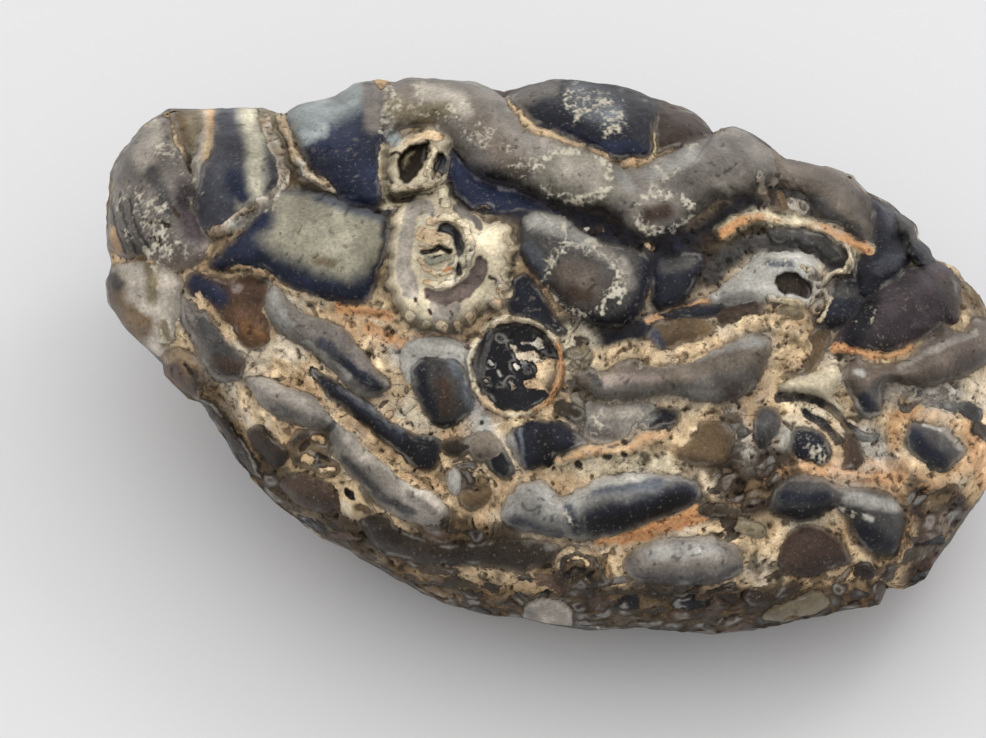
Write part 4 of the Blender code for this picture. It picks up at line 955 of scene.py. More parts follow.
# Small forms over the swellings and the bed, in order: the borings, the folds of the crimped ring, the
# filling of the round bore, bands, seams and knots. Tone, height in millimetres (below 0 it is sunk),
# whether it is crust, half width in pixels (none for a closed outline), line or outline.
DETAILS = {
    "borings of the tube": [
        ("bark", -2.0, False, None, [
            (424, 144), (427, 152), (421, 163), (415, 174), (406, 183), (399, 181), (395, 172), (394, 166),
            (398, 158), (406, 151), (414, 147)]),
        ("olive", 1.3, False, None, [
            (397, 168), (401, 160), (413, 151), (413, 157), (405, 166), (400, 172)]),
        ("coal", -1.9, False, None, [
            (431, 158), (438, 155), (443, 160), (443, 172), (437, 180), (431, 178)]),
        ("slate", 1.0, False, 4, [(441, 161), (441, 171)]),
        ("bark", -0.6, False, 1.5, [(388, 157), (395, 155), (400, 160)]),
        ("bark", -0.5, False, 1.6, [(385, 176), (388, 184)]),
        ("umber", -0.4, False, 1.2, [(423, 139), (427, 144)]),
        ("umber", -0.4, False, 1.2, [(408, 150), (412, 152)]),
        ("cream", 0.3, True, 4, [(404, 145), (420, 136), (436, 138)]),
        ("ivory", 0.3, True, 5, [(392, 188), (408, 191), (424, 187), (434, 178)]),
        ("ivory", 0.3, True, 4, [(429, 150), (428, 164), (424, 176)]),
        ("mist", 0.9, False, 7, [(389, 137), (392, 141)]),
        ("umber", -0.5, False, 2, [(386, 197), (398, 202), (412, 201)]),
        ("ink", -0.4, False, 2, [(446, 186), (453, 198), (462, 206), (478, 212), (490, 214)]),
        ("tan", 0.4, True, 2, [(474, 207), (488, 209)]),
    ],
    "inside of the rosette": [
        ("pewter", -0.25, False, 8, [(414, 208), (407, 226), (404, 250), (402, 272), (410, 292)]),
        ("pewter", -0.1, False, 5, [(414, 206), (424, 204), (428, 212)]),
        ("bone", 0.25, True, 6, [(441, 194), (443, 204)]),
        ("smoke", -0.3, False, None, [
            (451, 205), (463, 209), (474, 217), (482, 226), (478, 232), (468, 224), (458, 216), (450, 213)]),
        ("ivory", 0.35, True, 4, [
            (428, 222), (440, 219), (454, 219), (464, 228), (468, 242), (468, 256), (462, 270), (452, 281),
            (438, 286), (424, 284)]),
        ("bone", 0.1, True, 9, [(422, 236), (440, 241)]),
        ("tan", -0.2, True, 2, [(417, 240), (421, 250), (430, 246)]),
        ("ink", -1.4, False, None, [
            (435, 232), (439, 226), (448, 225), (456, 230), (461, 239), (463, 249), (459, 258), (455, 253),
            (452, 244), (449, 236), (443, 234)]),
        ("steel", 0.6, False, 1.6, [(441, 229), (449, 229)]),
        ("slate", 0.5, False, 1.6, [(456, 248), (459, 254)]),
        ("ink", -1.0, False, 2.4, [(457, 264), (458, 273)]),
        ("ivory", 0.35, True, 3, [(419, 262), (426, 272), (440, 275), (452, 268), (455, 258)]),
        ("bark", -0.8, False, 2.6, [(422, 255), (431, 251), (439, 247), (449, 251)]),
        ("milk", 0.4, False, 4.5, [(427, 261), (437, 260), (446, 257)]),
        ("bark", -0.3, False, 1.2, [(434, 257), (440, 255)]),
        ("rust", -0.2, False, 1.6, [(444, 272), (450, 268)]),
        ("mauve", -0.45, False, None, [
            (422, 291), (436, 291), (450, 287), (462, 279), (470, 267), (474, 257), (481, 257), (486, 264),
            (484, 276), (477, 288), (467, 299), (453, 305), (438, 307), (427, 302)]),
        ("pewter", -0.1, False, None, [
            (429, 305), (446, 307), (460, 304), (456, 318), (446, 328), (434, 322)]),
        ("umber", -0.5, False, 1.4, [(414, 299), (415, 302)]),
        ("umber", -0.5, False, 1.4, [(428, 312), (431, 316)]),
        ("umber", -0.4, False, 1.3, [(488, 277), (494, 279), (495, 284)]),
        ("umber", -0.4, False, 1.2, [(449, 312), (453, 316)]),
        ("bone", 0.5, True, 7, [(507, 236), (508, 238)]),
        ("bone", 0.5, True, 8, [(509, 254), (510, 257)]),
        ("bone", 0.5, True, 7, [(505, 272), (506, 275)]),
        ("ivory", 0.5, True, 7, [(503, 290), (504, 292)]),
        ("ivory", 0.5, True, 7, [(495, 304), (496, 306)]),
        ("bone", 0.5, True, 6, [(481, 308), (482, 310)]),
        ("bone", 0.5, True, 6, [(470, 318), (471, 320)]),
        ("ivory", 0.5, True, 6, [(457, 325), (458, 326)]),
        ("ivory", 0.5, True, 6, [(441, 327), (442, 328)]),
        ("bone", 0.5, True, 6, [(424, 325), (426, 326)]),
        ("ivory", 0.5, True, 6, [(408, 317), (409, 318)]),
    ],
    "rim and filling of the bore": [
        ("coal", -2.3, False, None, [
            (516, 323), (532, 326), (546, 335), (555, 348), (558, 364), (555, 382), (547, 398), (533, 407),
            (516, 410), (498, 407), (484, 394), (476, 380), (473, 364), (477, 346), (486, 333), (500, 325)]),
        ("graphite", 0.4, False, 3, [(482, 374), (484, 352), (493, 337)]),
        ("cream", 2.0, True, None, [
            (507, 342), (515, 345), (523, 349), (537, 350), (545, 358), (559, 362), (559, 380), (553, 396),
            (545, 391), (536, 388), (527, 386), (524, 380), (532, 379), (535, 368), (530, 360), (519, 361),
            (513, 354)]),
        ("chalk", 1.5, True, None, [
            (521, 341), (532, 340), (536, 334), (541, 337), (544, 346), (538, 349), (530, 345), (522, 344)]),
        ("chalk", 0.9, True, 4, [(514, 365), (516, 368)]),
        ("ash", 0.8, True, 3, [(509, 382), (512, 387)]),
        ("ash", 0.5, True, 1.4, [(490, 362), (493, 365)]),
        ("steel", 0.7, True, 4.5, [(524, 364), (527, 372)]),
        ("ash", 0.5, True, 1.6, [(500, 338), (502, 339)]),
        ("ash", 0.5, True, 1.3, [(486, 381), (488, 382)]),
        ("ash", 0.5, True, 1.3, [(499, 384), (501, 385)]),
        ("ash", 0.4, False, 1.5, [(499, 371), (501, 375)]),
        ("ivory", 0.9, True, 3, [
            (560, 352), (552, 336), (541, 326), (528, 320), (513, 317), (498, 320), (484, 329), (474, 342),
            (470, 358), (470, 374), (477, 390), (489, 404), (504, 412), (520, 414), (534, 412)]),
        ("tan", 0.7, True, 2, [(557, 342), (561, 356), (560, 374), (555, 391), (546, 403), (534, 412)]),
    ],
    "hollow in the tongue": [
        ("bark", -0.9, False, None, [
            (774, 279), (779, 271), (793, 268), (803, 275), (811, 284), (807, 294), (796, 291), (781, 289)]),
    ],
    "black bands": [
        ("coal", -0.5, False, 4.5, [
            (780, 393), (800, 394), (820, 399), (836, 409), (850, 422), (862, 430), (874, 432)]),
        ("coal", -0.4, False, 4, [(806, 408), (820, 416), (832, 428), (838, 436)]),
        ("bone", 0.3, True, 1.4, [(794, 400), (814, 406), (832, 417), (846, 434)]),
        ("tobacco", 0.3, False, 2, [(826, 403), (842, 416), (852, 428)]),
    ],
    "crust seams": [
        ("chalk", 0.25, True, 6, [(262, 122), (268, 142), (277, 160), (281, 182), (271, 199)]),
        ("chalk", 0.5, True, 8, [(260, 206), (246, 217), (232, 227), (217, 234)]),
        ("bone", 0.2, True, 3, [(206, 236), (216, 246), (206, 258)]),
        ("ivory", 0.8, True, 5.5, [(278, 118), (284, 136), (290, 155), (298, 166)]),
        ("chalk", 0.5, True, 4, [(296, 164), (301, 176), (308, 182)]),
        ("ivory", 0.3, True, 2, [(306, 180), (316, 186), (330, 194)]),
        ("bone", 0.2, True, 5, [(382, 150), (380, 172), (384, 206)]),
    ],
    "gap under the egg": [
        ("bark", -0.5, False, 2.5, [(652, 590), (676, 593), (700, 589)]),
        ("bark", -0.5, False, 2.5, [(712, 588), (736, 580)]),
    ],
    "net by the tongue": [
        ("ivory", 0.4, True, 3.5, [
            (843, 238), (851, 252), (846, 266), (830, 270), (822, 282), (828, 298), (820, 316)]),
        ("bone", 0.3, True, 3, [(800, 262), (816, 270), (826, 280)]),
        ("pewter", 0.2, True, 7, [(812, 272), (818, 292), (808, 310)]),
        ("bone", 0.3, True, 4, [(770, 294), (786, 296), (800, 300), (806, 318), (796, 330)]),
    ],
    "under the shoulder": [
        ("pewter", 0.2, True, 4, [(757, 168), (760, 187)]),
        ("pewter", 0.2, True, 4, [(776, 172), (770, 180)]),
        ("bark", -0.4, False, 3, [(768, 186), (769, 199)]),
        ("pewter", 0.25, True, 6, [(788, 198), (801, 204)]),
        ("tobacco", 0.2, False, 4, [(778, 190), (782, 202)]),
    ],
    "folds of the ringed pocket": [
        ("bone", 0.2, True, 3.4, [(557, 566), (563, 553), (576, 547)]),
        ("sand", 0.2, True, 3.8, [(584, 547), (597, 550), (604, 556)]),
        ("tan", 0.2, True, 2.4, [(608, 562), (611, 574)]),
        ("sand", 0.2, True, 1.5, [(570, 558), (582, 555), (590, 562)]),
        ("coal", -0.4, False, 1.6, [(568, 572), (576, 565), (586, 568)]),
        ("coal", -0.4, False, 1.4, [(590, 576), (598, 570)]),
        ("dirt", 0.2, True, 1.6, [(572, 582), (584, 576), (594, 583)]),
    ],
    "folds of the lower left": [
        ("coal", -0.8, False, None, [
            (345, 493), (349, 489), (355, 493), (357, 500), (351, 501), (348, 498)]),
        ("tobacco", -0.3, False, 4, [(362, 508), (370, 512)]),
        ("umber", -0.4, False, 3, [(302, 452), (308, 446)]),
        ("bark", -0.4, False, 2.4, [(318, 458), (330, 462)]),
        ("sand", 0.3, True, 4.5, [(306, 462), (312, 464)]),
        ("cream", 0.3, True, 3.5, [(322, 472), (334, 472)]),
        ("tan", 0.2, True, 3.5, [(316, 440), (322, 444)]),
        ("bark", -0.4, False, 2.2, [(184, 368), (192, 376)]),
        ("umber", -0.3, False, 2, [(172, 372), (174, 382)]),
    ],
    "dark knots": [
        ("bark", 0.5, False, 9, [(866, 565), (867, 566)]),
        ("umber", 0.4, False, 7, [(841, 584), (842, 585)]),
        ("umber", 0.4, False, 8, [(883, 583), (884, 590)]),
        ("graphite", 0.5, False, 8, [(966, 402), (976, 408)]),
        ("umber", 0.4, False, 7, [(978, 422), (988, 428)]),
        ("soil", 0.5, False, 7, [(706, 506), (738, 511)]),
        ("olive", 0.4, False, 8, [(744, 522), (760, 526)]),
        ("bark", -0.5, False, 2.5, [(607, 455), (609, 456)]),
        ("bark", -0.4, False, 2, [(624, 451), (626, 452)]),
        ("bark", -0.4, False, 2, [(624, 440), (626, 440)]),
        ("bark", -0.4, False, 2.4, [(580, 462), (582, 464)]),
    ],
    "sponge beside the bore": [
        ("olive", -0.3, False, 6, [(572, 352), (583, 350)]),
        ("olive", -0.3, False, 3, [(573, 362), (578, 365)]),
        ("bark", -0.3, False, 1.2, [(568, 380), (574, 383), (578, 376)]),
        ("bark", -0.4, False, 1.6, [(562, 388), (565, 389)]),
        ("umber", -0.3, False, 2, [(577, 338), (581, 344)]),
        ("olive", -0.3, False, 4, [(575, 395), (580, 402)]),
        ("soil", -0.4, False, 8, [(562, 406), (578, 412)]),
    ],
    "ribs of the left dome": [
        ("graphite", -0.2, False, 1.6, [(109, 204), (112, 232), (124, 258)]),
        ("graphite", -0.2, False, 1.6, [(118, 200), (122, 230), (136, 260)]),
        ("graphite", -0.2, False, 1.6, [(128, 204), (132, 228), (147, 256)]),
        ("graphite", -0.2, False, 1.4, [(136, 208), (141, 226)]),
        ("bark", -0.4, False, 3, [(146, 227), (156, 226), (166, 230)]),
        ("bark", -0.4, False, 2.5, [(154, 240), (158, 249)]),
        ("umber", -0.3, False, 2, [(170, 214), (178, 222)]),
        ("umber", -0.3, False, 2, [(184, 205), (190, 210)]),
    ],
    "specks over the crowned lobe": [
        ("chalk", 0.3, True, 2, [(583, 228), (586, 227)]),
        ("chalk", 0.3, True, 1.5, [(602, 228), (603, 231)]),
        ("cream", 0.4, True, 3.2, [(646, 243), (650, 246)]),
        ("tan", 0.3, True, 1.5, [(634, 246), (640, 250)]),
    ],
    "crystal bump": [
        ("ivory", 0.6, True, 11, [(376, 316), (380, 319)]),
        ("cream", 0.3, True, 9, [(388, 332), (403, 336)]),
    ],
}
DETAIL_SHOULDER = 0.3
DETAIL_RAGS = (0.05, 0.16)
DETAIL_EDGE = 0.06

for name, rise, is_crust, half_width, pixels in itertools.chain(*DETAILS.values()):
    line = to_plane(smooth_line(pixels, closed=half_width is None))
    reach = (half_width or 0) * MM_PER_PIXEL
    which = near(strayed, line, reach + DETAIL_SHOULDER)
    if half_width is None:
        inward = inside_distance(strayed[which], line)
    else:
        inward = reach - line_distance(strayed[which], line)
    inward += DETAIL_RAGS[is_crust] * ragged[which]
    face_relief[which] += rise * dome(inward, DETAIL_SHOULDER)
    cover = ease(inward, -DETAIL_EDGE, DETAIL_EDGE)[:, None]
    if is_crust:
        bed[which] += cover * (linear(name) - bed[which])
        crust[which] = np.maximum(crust[which], inward)
    else:
        tone[which] += cover * (linear(name) - tone[which])
        crust[which] = np.minimum(crust[which], -inward)


# The pebbles: small grains of older stone, caught long ways round the nodule in its lower crust. Each
# grows from a seeded point, one in each square of a grid round the middle, out to its neighbours.
# RUBBLE says where they lie: share of them, half width in pixels, line.
RUBBLE = [
    (1.0, 30, [(190, 420), (250, 505), (330, 562)]),
    (1.0, 36, [(330, 575), (450, 606), (600, 616), (760, 614), (880, 598)]),
    (0.9, 18, [(440, 536), (500, 560), (600, 592)]),
    (0.95, 26, [(730, 448), (750, 478), (736, 508)]),
    (0.9, 12, [(462, 470), (480, 490)]),
    (0.9, 18, [(954, 498), (966, 545), (945, 584)]),
    (0.9, 17, [(928, 500), (932, 540), (915, 578)]),
    (0.9, 12, [(760, 592), (840, 600)]),
    (0.9, 10, [(905, 396), (940, 392)]),
]
RUBBLE_MIDDLE = (560, 300)
RUBBLE_SQUEEZE = 1.55
RUBBLE_ROUND = 45.0
PEBBLE_SEED = 5
PEBBLE_CELLS = 97
PEBBLE_LENGTH = 3.0
PEBBLE_WIDTH = 1.4
PEBBLE_HEIGHTS = (-0.35, 0.5)
PEBBLE_SHOULDER = 0.4
PEBBLE_GAP = 0.12
PEBBLE_SWAY = 0.5
PEBBLE_SWAY_SIZE = 1.8
PEBBLE_SWAY_SEEDS = (17, 18)
PEBBLE_RAGS = (1.6, 20)
PEBBLE_RAGS_SHARE = 1.3
PEBBLE_BLOTCHES = (0.9, 19)
PEBBLE_BLOTCH_SHARE = 0.6
PEBBLE_TONES = ["coal", "bark", "soil", "bark", "umber", "soil", "tobacco", "umber"]

share = dust(strayed, RUBBLE)
spread = strayed + PEBBLE_SWAY * noise_vectors(flat, PEBBLE_SWAY_SIZE, PEBBLE_SWAY_SEEDS)[front]
spread -= to_plane(RUBBLE_MIDDLE)
out = np.hypot(*spread.T * np.array([[1.0], [RUBBLE_SQUEEZE]]))
angles = np.arctan2(RUBBLE_SQUEEZE * spread[:, 1], spread[:, 0])
grid = np.stack([angles * RUBBLE_ROUND / PEBBLE_LENGTH, out / PEBBLE_WIDTH], axis=1)
home = np.floor(grid).astype(int)
chances = np.random.default_rng(PEBBLE_SEED).uniform(size=(PEBBLE_CELLS, PEBBLE_CELLS, 4))
first = np.full(len(grid), np.inf)
second = np.full(len(grid), np.inf)
luck = np.zeros(len(grid))
pick = np.zeros(len(grid))
for offset in itertools.product((-1, 0, 1), repeat=2):
    cell = home + offset
    chance = chances[cell[:, 0] % PEBBLE_CELLS, cell[:, 1] % PEBBLE_CELLS]
    gap = np.hypot(*(cell + chance[:, :2] - grid).T)
    closer = gap < first
    second = np.where(closer, first, np.minimum(second, gap))
    luck = np.where(closer, chance[:, 2], luck)
    pick = np.where(closer, chance[:, 3], pick)
    first = np.minimum(first, gap)
own_spots = np.column_stack([strayed, pick])
gap = PEBBLE_GAP * (1 + PEBBLE_RAGS_SHARE * noise(own_spots, *PEBBLE_RAGS))
inward = np.minimum((second - first) * PEBBLE_WIDTH / 2, crust) - gap
here = (luck < share) & (inward > -PEBBLE_GAP)
blotch = np.exp(PEBBLE_BLOTCH_SHARE * noise(own_spots, *PEBBLE_BLOTCHES))
palette = np.array([linear(name) for name in PEBBLE_TONES])
tone[here] = palette[(pick[here] * len(PEBBLE_TONES)).astype(int)] * blotch[here, None]
rise = PEBBLE_HEIGHTS[0] + (PEBBLE_HEIGHTS[1] - PEBBLE_HEIGHTS[0]) * pick[here]
face_relief[here] += rise * dome(inward[here], PEBBLE_SHOULDER)
crust[here] = -inward[here]


# The rind: the unseen sides, back and underside, guessed as rounded knobs of the same chalcedony with
# dirt between them. They are laid on the body in an even spiral, and are worn smooth underneath. The
# sizes are millimetres. The face's looks end where it turns away from the viewer, at FACE_EDGE.
RIND_SEED = 11
RIND_KNOBS = 240
RIND_TOP = 0.3
RIND_SHIFT = 2.2
GOLDEN_TURN = math.pi * (3 - math.sqrt(5))
RIND_LENGTH = (3.2, 10.0)
RIND_SLIMNESS = (0.42, 0.8)
RIND_STEEPNESS = (0.3, 0.5)
RIND_SINK = 1.1
RIND_WARPS = [(1.3, 5.0, 33), (0.5, 1.8, 37)]
RIND_FADE = (4.0, 40)
RIND_FADE_EDGE = 0.4
RIND_TONES = [
    ("smoke", "slate"), ("taupe", "umber"), ("dove", "smoke"), ("olive", "tobacco"), ("graphite", "slate"),
    ("fawn", "umber"), ("ash", "steel"), ("soil", "umber"), ("dove", "graphite"), ("tobacco", "soil"),
]
SWAY = 0.9
SWAY_NOISE = (11.0, 5)
RELIEF_BLUR = 0.1
RIM_CALM = 0.85
RIM_WIDTH = 0.16
WORN_UNDERSIDE = (0.88, 0.97)
FACE_EDGE = (0.0, 0.08)
FACE_EDGE_SWAY = 0.12
FACE_EDGE_NOISE = (5.0, 45, 3)
LAST_FACE_EDGE = (FRONT_EDGE, -0.24)


def rind(points, normals, bare_rind):
    """The knobs' relief and tone, and how far inside one each point is."""
    random = np.random.default_rng(RIND_SEED)
    steps = np.arange(RIND_KNOBS) + 0.5
    heights = 1 - 2 * steps / RIND_KNOBS
    turns = steps * GOLDEN_TURN
    out = np.sqrt(1 - heights**2)
    spiral = np.stack([out * np.cos(turns), out * np.sin(turns), heights], axis=1)
    middles = to_world(*plain_form(spiral)) + RIND_SHIFT * random.normal(size=(RIND_KNOBS, 3))
    ways = random.normal(size=(RIND_KNOBS, 3))
    lengths = np.exp(random.uniform(*np.log(RIND_LENGTH), RIND_KNOBS))
    widths = lengths * random.uniform(*RIND_SLIMNESS, RIND_KNOBS)
    rises = widths * random.uniform(*RIND_STEEPNESS, RIND_KNOBS)
    picks = random.integers(len(RIND_TONES), size=RIND_KNOBS)
    relief = np.zeros(len(points))
    inside = np.full(len(points), -FAR)
    tone = np.tile(linear("smoke"), (len(points), 1))
    spots = points[bare_rind]
    warped = spots + sum(
        reach * noise_vectors(spots, size, range(seed, seed + 3)) for reach, size, seed in RIND_WARPS
    )
    fade = ease(noise(spots, *RIND_FADE), -RIND_FADE_EDGE, RIND_FADE_EDGE)[:, None]
    for index in np.flatnonzero(heights < RIND_TOP):
        nearest = np.argmin(((points - middles[index]) ** 2).sum(axis=1))
        outward = normals[nearest]
        along = np.cross(outward, ways[index])
        along /= np.linalg.norm(along)
        across = np.cross(outward, along)
        offset = warped - points[nearest]
        far = (offset @ along / lengths[index]) ** 2 + (offset @ across / widths[index]) ** 2
        far += (offset @ outward / lengths[index]) ** 2
        inward = (1 - np.sqrt(far)) * widths[index]
        touched = inward > inside[bare_rind]
        which = bare_rind[touched]
        knob = rises[index] * dome(inward[touched], widths[index])
        relief[which] = np.maximum(relief[which], knob)
        first, second = (linear(name) for name in RIND_TONES[picks[index]])
        tone[which] = first + fade[touched] * (second - first)
        inside[which] = inward[touched]
    return relief, tone, inside


knobs, rind_tone, rind_inside = rind(plain, normals, np.flatnonzero(unseen > 0))
knobs = levelled(knobs, RELIEF_BLUR) - RIND_SINK + SWAY * noise(plain, *SWAY_NOISE)
knobs *= 1 - RIM_CALM * np.exp(-((toward / RIM_WIDTH) ** 2))
knobs *= 1 - ease(-normals[:, 2], *WORN_UNDERSIDE)
from_face = ease(toward, *LAST_FACE_EDGE)
from_face *= ease(toward + FACE_EDGE_SWAY * layers(*FACE_EDGE_NOISE, points=plain), *FACE_EDGE)


def round_the_stone(on_face, on_rind):
    """What covers the face, carried on round the side by what covers the rind."""
    whole = on_rind.copy()
    share = from_face[front]
    if whole.ndim == 2:
        share = share[:, None]
    whole[front] += share * (on_face - whole[front])
    return whole


tone = round_the_stone(tone, rind_tone)
bed = round_the_stone(bed, np.tile(linear("dirt"), (len(plain), 1)))
crust = round_the_stone(crust, -rind_inside)
inside = round_the_stone(inside, rind_inside)
stain = round_the_stone(stain, np.zeros(len(plain)))
relief = np.zeros(len(plain))
relief[front] = face_relief


# The bare chalcedony: waxy and mottled, with soft blotches, a grey bloom, and pale flecks and pinprick
# pits that crowd together in places. Each pattern has a size in millimetres and a seed, and an EDGE
# where it starts and where it is full.
BARE_EDGE = 0.1
BLOTCHES = (3.2, 61)
BLOTCH_SHARE = 0.5
BLOOM = (1.8, 65)
BLOOM_EDGE = (0.1, 0.9)
BLOOM_SHARE = 0.35
BLOOM_GAIN = 1.8
BLOOM_HAZE = 0.004
FLECKS = (0.36, 67)
FLECK_CROWDS = (3.0, 68)
FLECK_CROWDING = 0.5
FLECK_EDGE = (0.85, 1.05)
FLECK_SHARE = 0.12
PINPRICKS = (0.5, 69)
PINPRICK_CROWDS = (2.5, 70)
PINPRICK_CROWDING = 0.3
PINPRICK_EDGE = (0.68, 0.85)
PINPRICK_SHARE = 0.5


def lay_over(colours, name, amount):
    """Covers the colours with this much of a named tone."""
    colours += amount[:, None] * (linear(name) - colours)


bare = 1 - ease(crust, -BARE_EDGE, BARE_EDGE)
tone = tone * np.exp(BLOTCH_SHARE * layers(*BLOTCHES))[:, None]
bloom = BLOOM_SHARE * ease(layers(*BLOOM), *BLOOM_EDGE)
tone += bloom[:, None] * (BLOOM_GAIN * tone + BLOOM_HAZE - tone)
flecks = noise(turned, *FLECKS) + FLECK_CROWDING * noise(spots, *FLECK_CROWDS)
lay_over(tone, "bone", FLECK_SHARE * ease(flecks, *FLECK_EDGE))
pinpricks = noise(turned, *PINPRICKS) + PINPRICK_CROWDING * noise(spots, *PINPRICK_CROWDS)
pinpricks = ease(pinpricks, *PINPRICK_EDGE)
tone *= (1 - PINPRICK_SHARE * pinpricks)[:, None]


# The film: a pale skin of silica with thin growth lines, over some swellings and their bed alike. It
# is densest along the edges, and lies here and there on the rind. FILMS say where on the face: amount,
# half width in pixels, line.
FILMS = [
    (0.5, 12, [(418, 345), (446, 350), (470, 372)]),
    (0.35, 12, [(404, 350), (410, 400)]),
    (0.6, 14, [(275, 295), (330, 360), (385, 405), (430, 440)]),
    (0.6, 12, [(330, 405), (400, 500), (445, 520)]),
    (0.6, 10, [(245, 385), (300, 430), (335, 450)]),
    (0.6, 8, [(180, 300), (205, 380), (240, 390)]),
    (0.7, 20, [(590, 400), (640, 415)]),
    (0.6, 12, [(508, 440), (520, 466)]),
    (0.5, 14, [(560, 380), (610, 400), (700, 400), (760, 388)]),
    (0.7, 14, [(885, 385), (950, 392)]),
    (0.6, 14, [(870, 430), (885, 460)]),
    (0.6, 12, [(735, 410), (745, 450), (770, 455), (788, 430)]),
    (0.6, 16, [(720, 290), (760, 262), (812, 266), (826, 290)]),
    (0.5, 12, [(500, 520), (560, 540), (620, 538)]),
    (0.4, 10, [(844, 374), (852, 400), (868, 415)]),
]
RIND_FILM = (7.0, 47, 2)
RIND_FILM_EDGE = (0.0, 0.5)
RIND_FILM_AMOUNT = 0.6
FILM_PATCHES = (1.4, 93)
FILM_PATCH_EDGE = (-0.7, 0.3)
GROWTH_LINE_GAP = 0.46
GROWTH_LINE_SWAY = 0.22
GROWTH_LINE_NOISE = (1.8, 91)
GROWTH_LINE_BREAKS = (0.9, 95)
GROWTH_LINE_BREAK_EDGE = 0.5
FILM_MARGIN = 0.9
FILM_MARGIN_SWAY = 0.5
FILM_MARGIN_NOISE = (1.0, 97)
FILM_MARGIN_EDGE = (0.0, 0.8)
FILM_MARGIN_SHARE = 0.5
PALE_LINE_EDGE = (0.2, 0.9)
PALE_LINE_SHARE = 0.16
DARK_LINE_EDGE = (0.4, 1.0)
DARK_LINE_SHARE = 0.28

rind_film = RIND_FILM_AMOUNT * ease(layers(*RIND_FILM, points=plain), *RIND_FILM_EDGE)
film = round_the_stone(dust(strayed, FILMS), rind_film)
film = film * ease(layers(*FILM_PATCHES), *FILM_PATCH_EDGE)
lines = inside + GROWTH_LINE_SWAY * noise(spots, *GROWTH_LINE_NOISE)
lines = np.cos(2 * math.pi * lines / GROWTH_LINE_GAP)
broken = ease(layers(*GROWTH_LINE_BREAKS), -GROWTH_LINE_BREAK_EDGE, GROWTH_LINE_BREAK_EDGE)
margin = FILM_MARGIN - inside + FILM_MARGIN_SWAY * layers(*FILM_MARGIN_NOISE)
margin = film * ease(margin, *FILM_MARGIN_EDGE)
lay_over(tone, "pearl", FILM_MARGIN_SHARE * margin)
lay_over(tone, "pearl", PALE_LINE_SHARE * film * broken * ease(lines, *PALE_LINE_EDGE))
tone *= (1 - DARK_LINE_SHARE * film * broken * ease(-lines, *DARK_LINE_EDGE))[:, None]


# The lace: white crust that stands as a fine net on the crowns of some swellings, where FROSTS lie,
# and in patches on the rind. Amount, half width in pixels, line.
FROSTS = [
    (0.6, 12, [(148, 128), (160, 160)]),
    (0.55, 11, [(165, 150), (178, 172), (190, 198)]),
    (0.7, 18, [(148, 206), (158, 262)]),
    (0.5, 14, [(175, 245), (196, 262)]),
    (0.45, 12, [(118, 196), (126, 240)]),
    (0.45, 16, [(160, 280), (168, 340)]),
    (0.5, 8, [(262, 212), (275, 200)]),
    (0.65, 8, [(385, 92), (380, 138)]),
    (0.5, 20, [(400, 98), (448, 108)]),
    (0.42, 18, [(470, 130), (520, 160)]),
    (0.7, 7, [
        (534, 168), (548, 152), (575, 148), (600, 158), (606, 182), (590, 197), (560, 196), (540, 186)]),
    (0.62, 7, [(634, 202), (648, 192), (675, 195), (690, 212), (672, 228), (645, 226), (634, 212)]),
    (0.5, 14, [(690, 150), (650, 180)]),
    (0.68, 19, [(568, 98), (600, 106), (612, 120)]),
    (0.72, 5.5, [(550, 262), (544, 282), (556, 302), (580, 314), (602, 308)]),
    (0.6, 8, [(548, 258), (566, 246), (590, 246)]),
    (0.7, 11, [(588, 244), (608, 256), (620, 276), (612, 298)]),
    (0.42, 14, [(536, 222), (572, 236)]),
    (0.4, 8, [(866, 300), (878, 330)]),
    (0.5, 20, [(600, 422), (640, 412)]),
    (0.45, 7, [(594, 373), (640, 366)]),
    (0.5, 7, [(556, 500), (580, 520)]),
    (0.46, 14, [(802, 432), (822, 452)]),
    (0.5, 6, [(846, 506), (866, 512)]),
    (0.5, 10, [(735, 268), (780, 254)]),
    (0.4, 10, [(560, 326), (600, 334)]),
]
RIND_FROST = (6.0, 43, 2)
RIND_FROST_EDGE = (-0.1, 0.6)
RIND_FROST_AMOUNT = 0.55
LACE_NET = (0.75, 71)
LACE_ROUGHNESS = (1.1, 72)
LACE_EDGE = (0.4, 0.85)
LACE_HOLES = (0.3, 76)
LACE_HOLE_EDGE = (-0.6, 0.35)
LACE_FROST_SHARE = 0.85
LACE_NET_SHARE = 0.22
LACE_ROUGHNESS_SHARE = 0.3
LACE_COVER = 0.8
LACE_HAZE = 0.15

rind_frost = RIND_FROST_AMOUNT * ease(layers(*RIND_FROST, points=plain), *RIND_FROST_EDGE)
frost = round_the_stone(dust(strayed, FROSTS), rind_frost)
net = 1 - 2 * abs(noise(swirled, *LACE_NET))
lace = LACE_FROST_SHARE * frost + LACE_NET_SHARE * net + LACE_ROUGHNESS_SHARE * layers(*LACE_ROUGHNESS)
frosty = ease(lace, *LACE_EDGE)
frost = LACE_COVER * frosty * ease(noise(spots, *LACE_HOLES), *LACE_HOLE_EDGE) + LACE_HAZE * frost


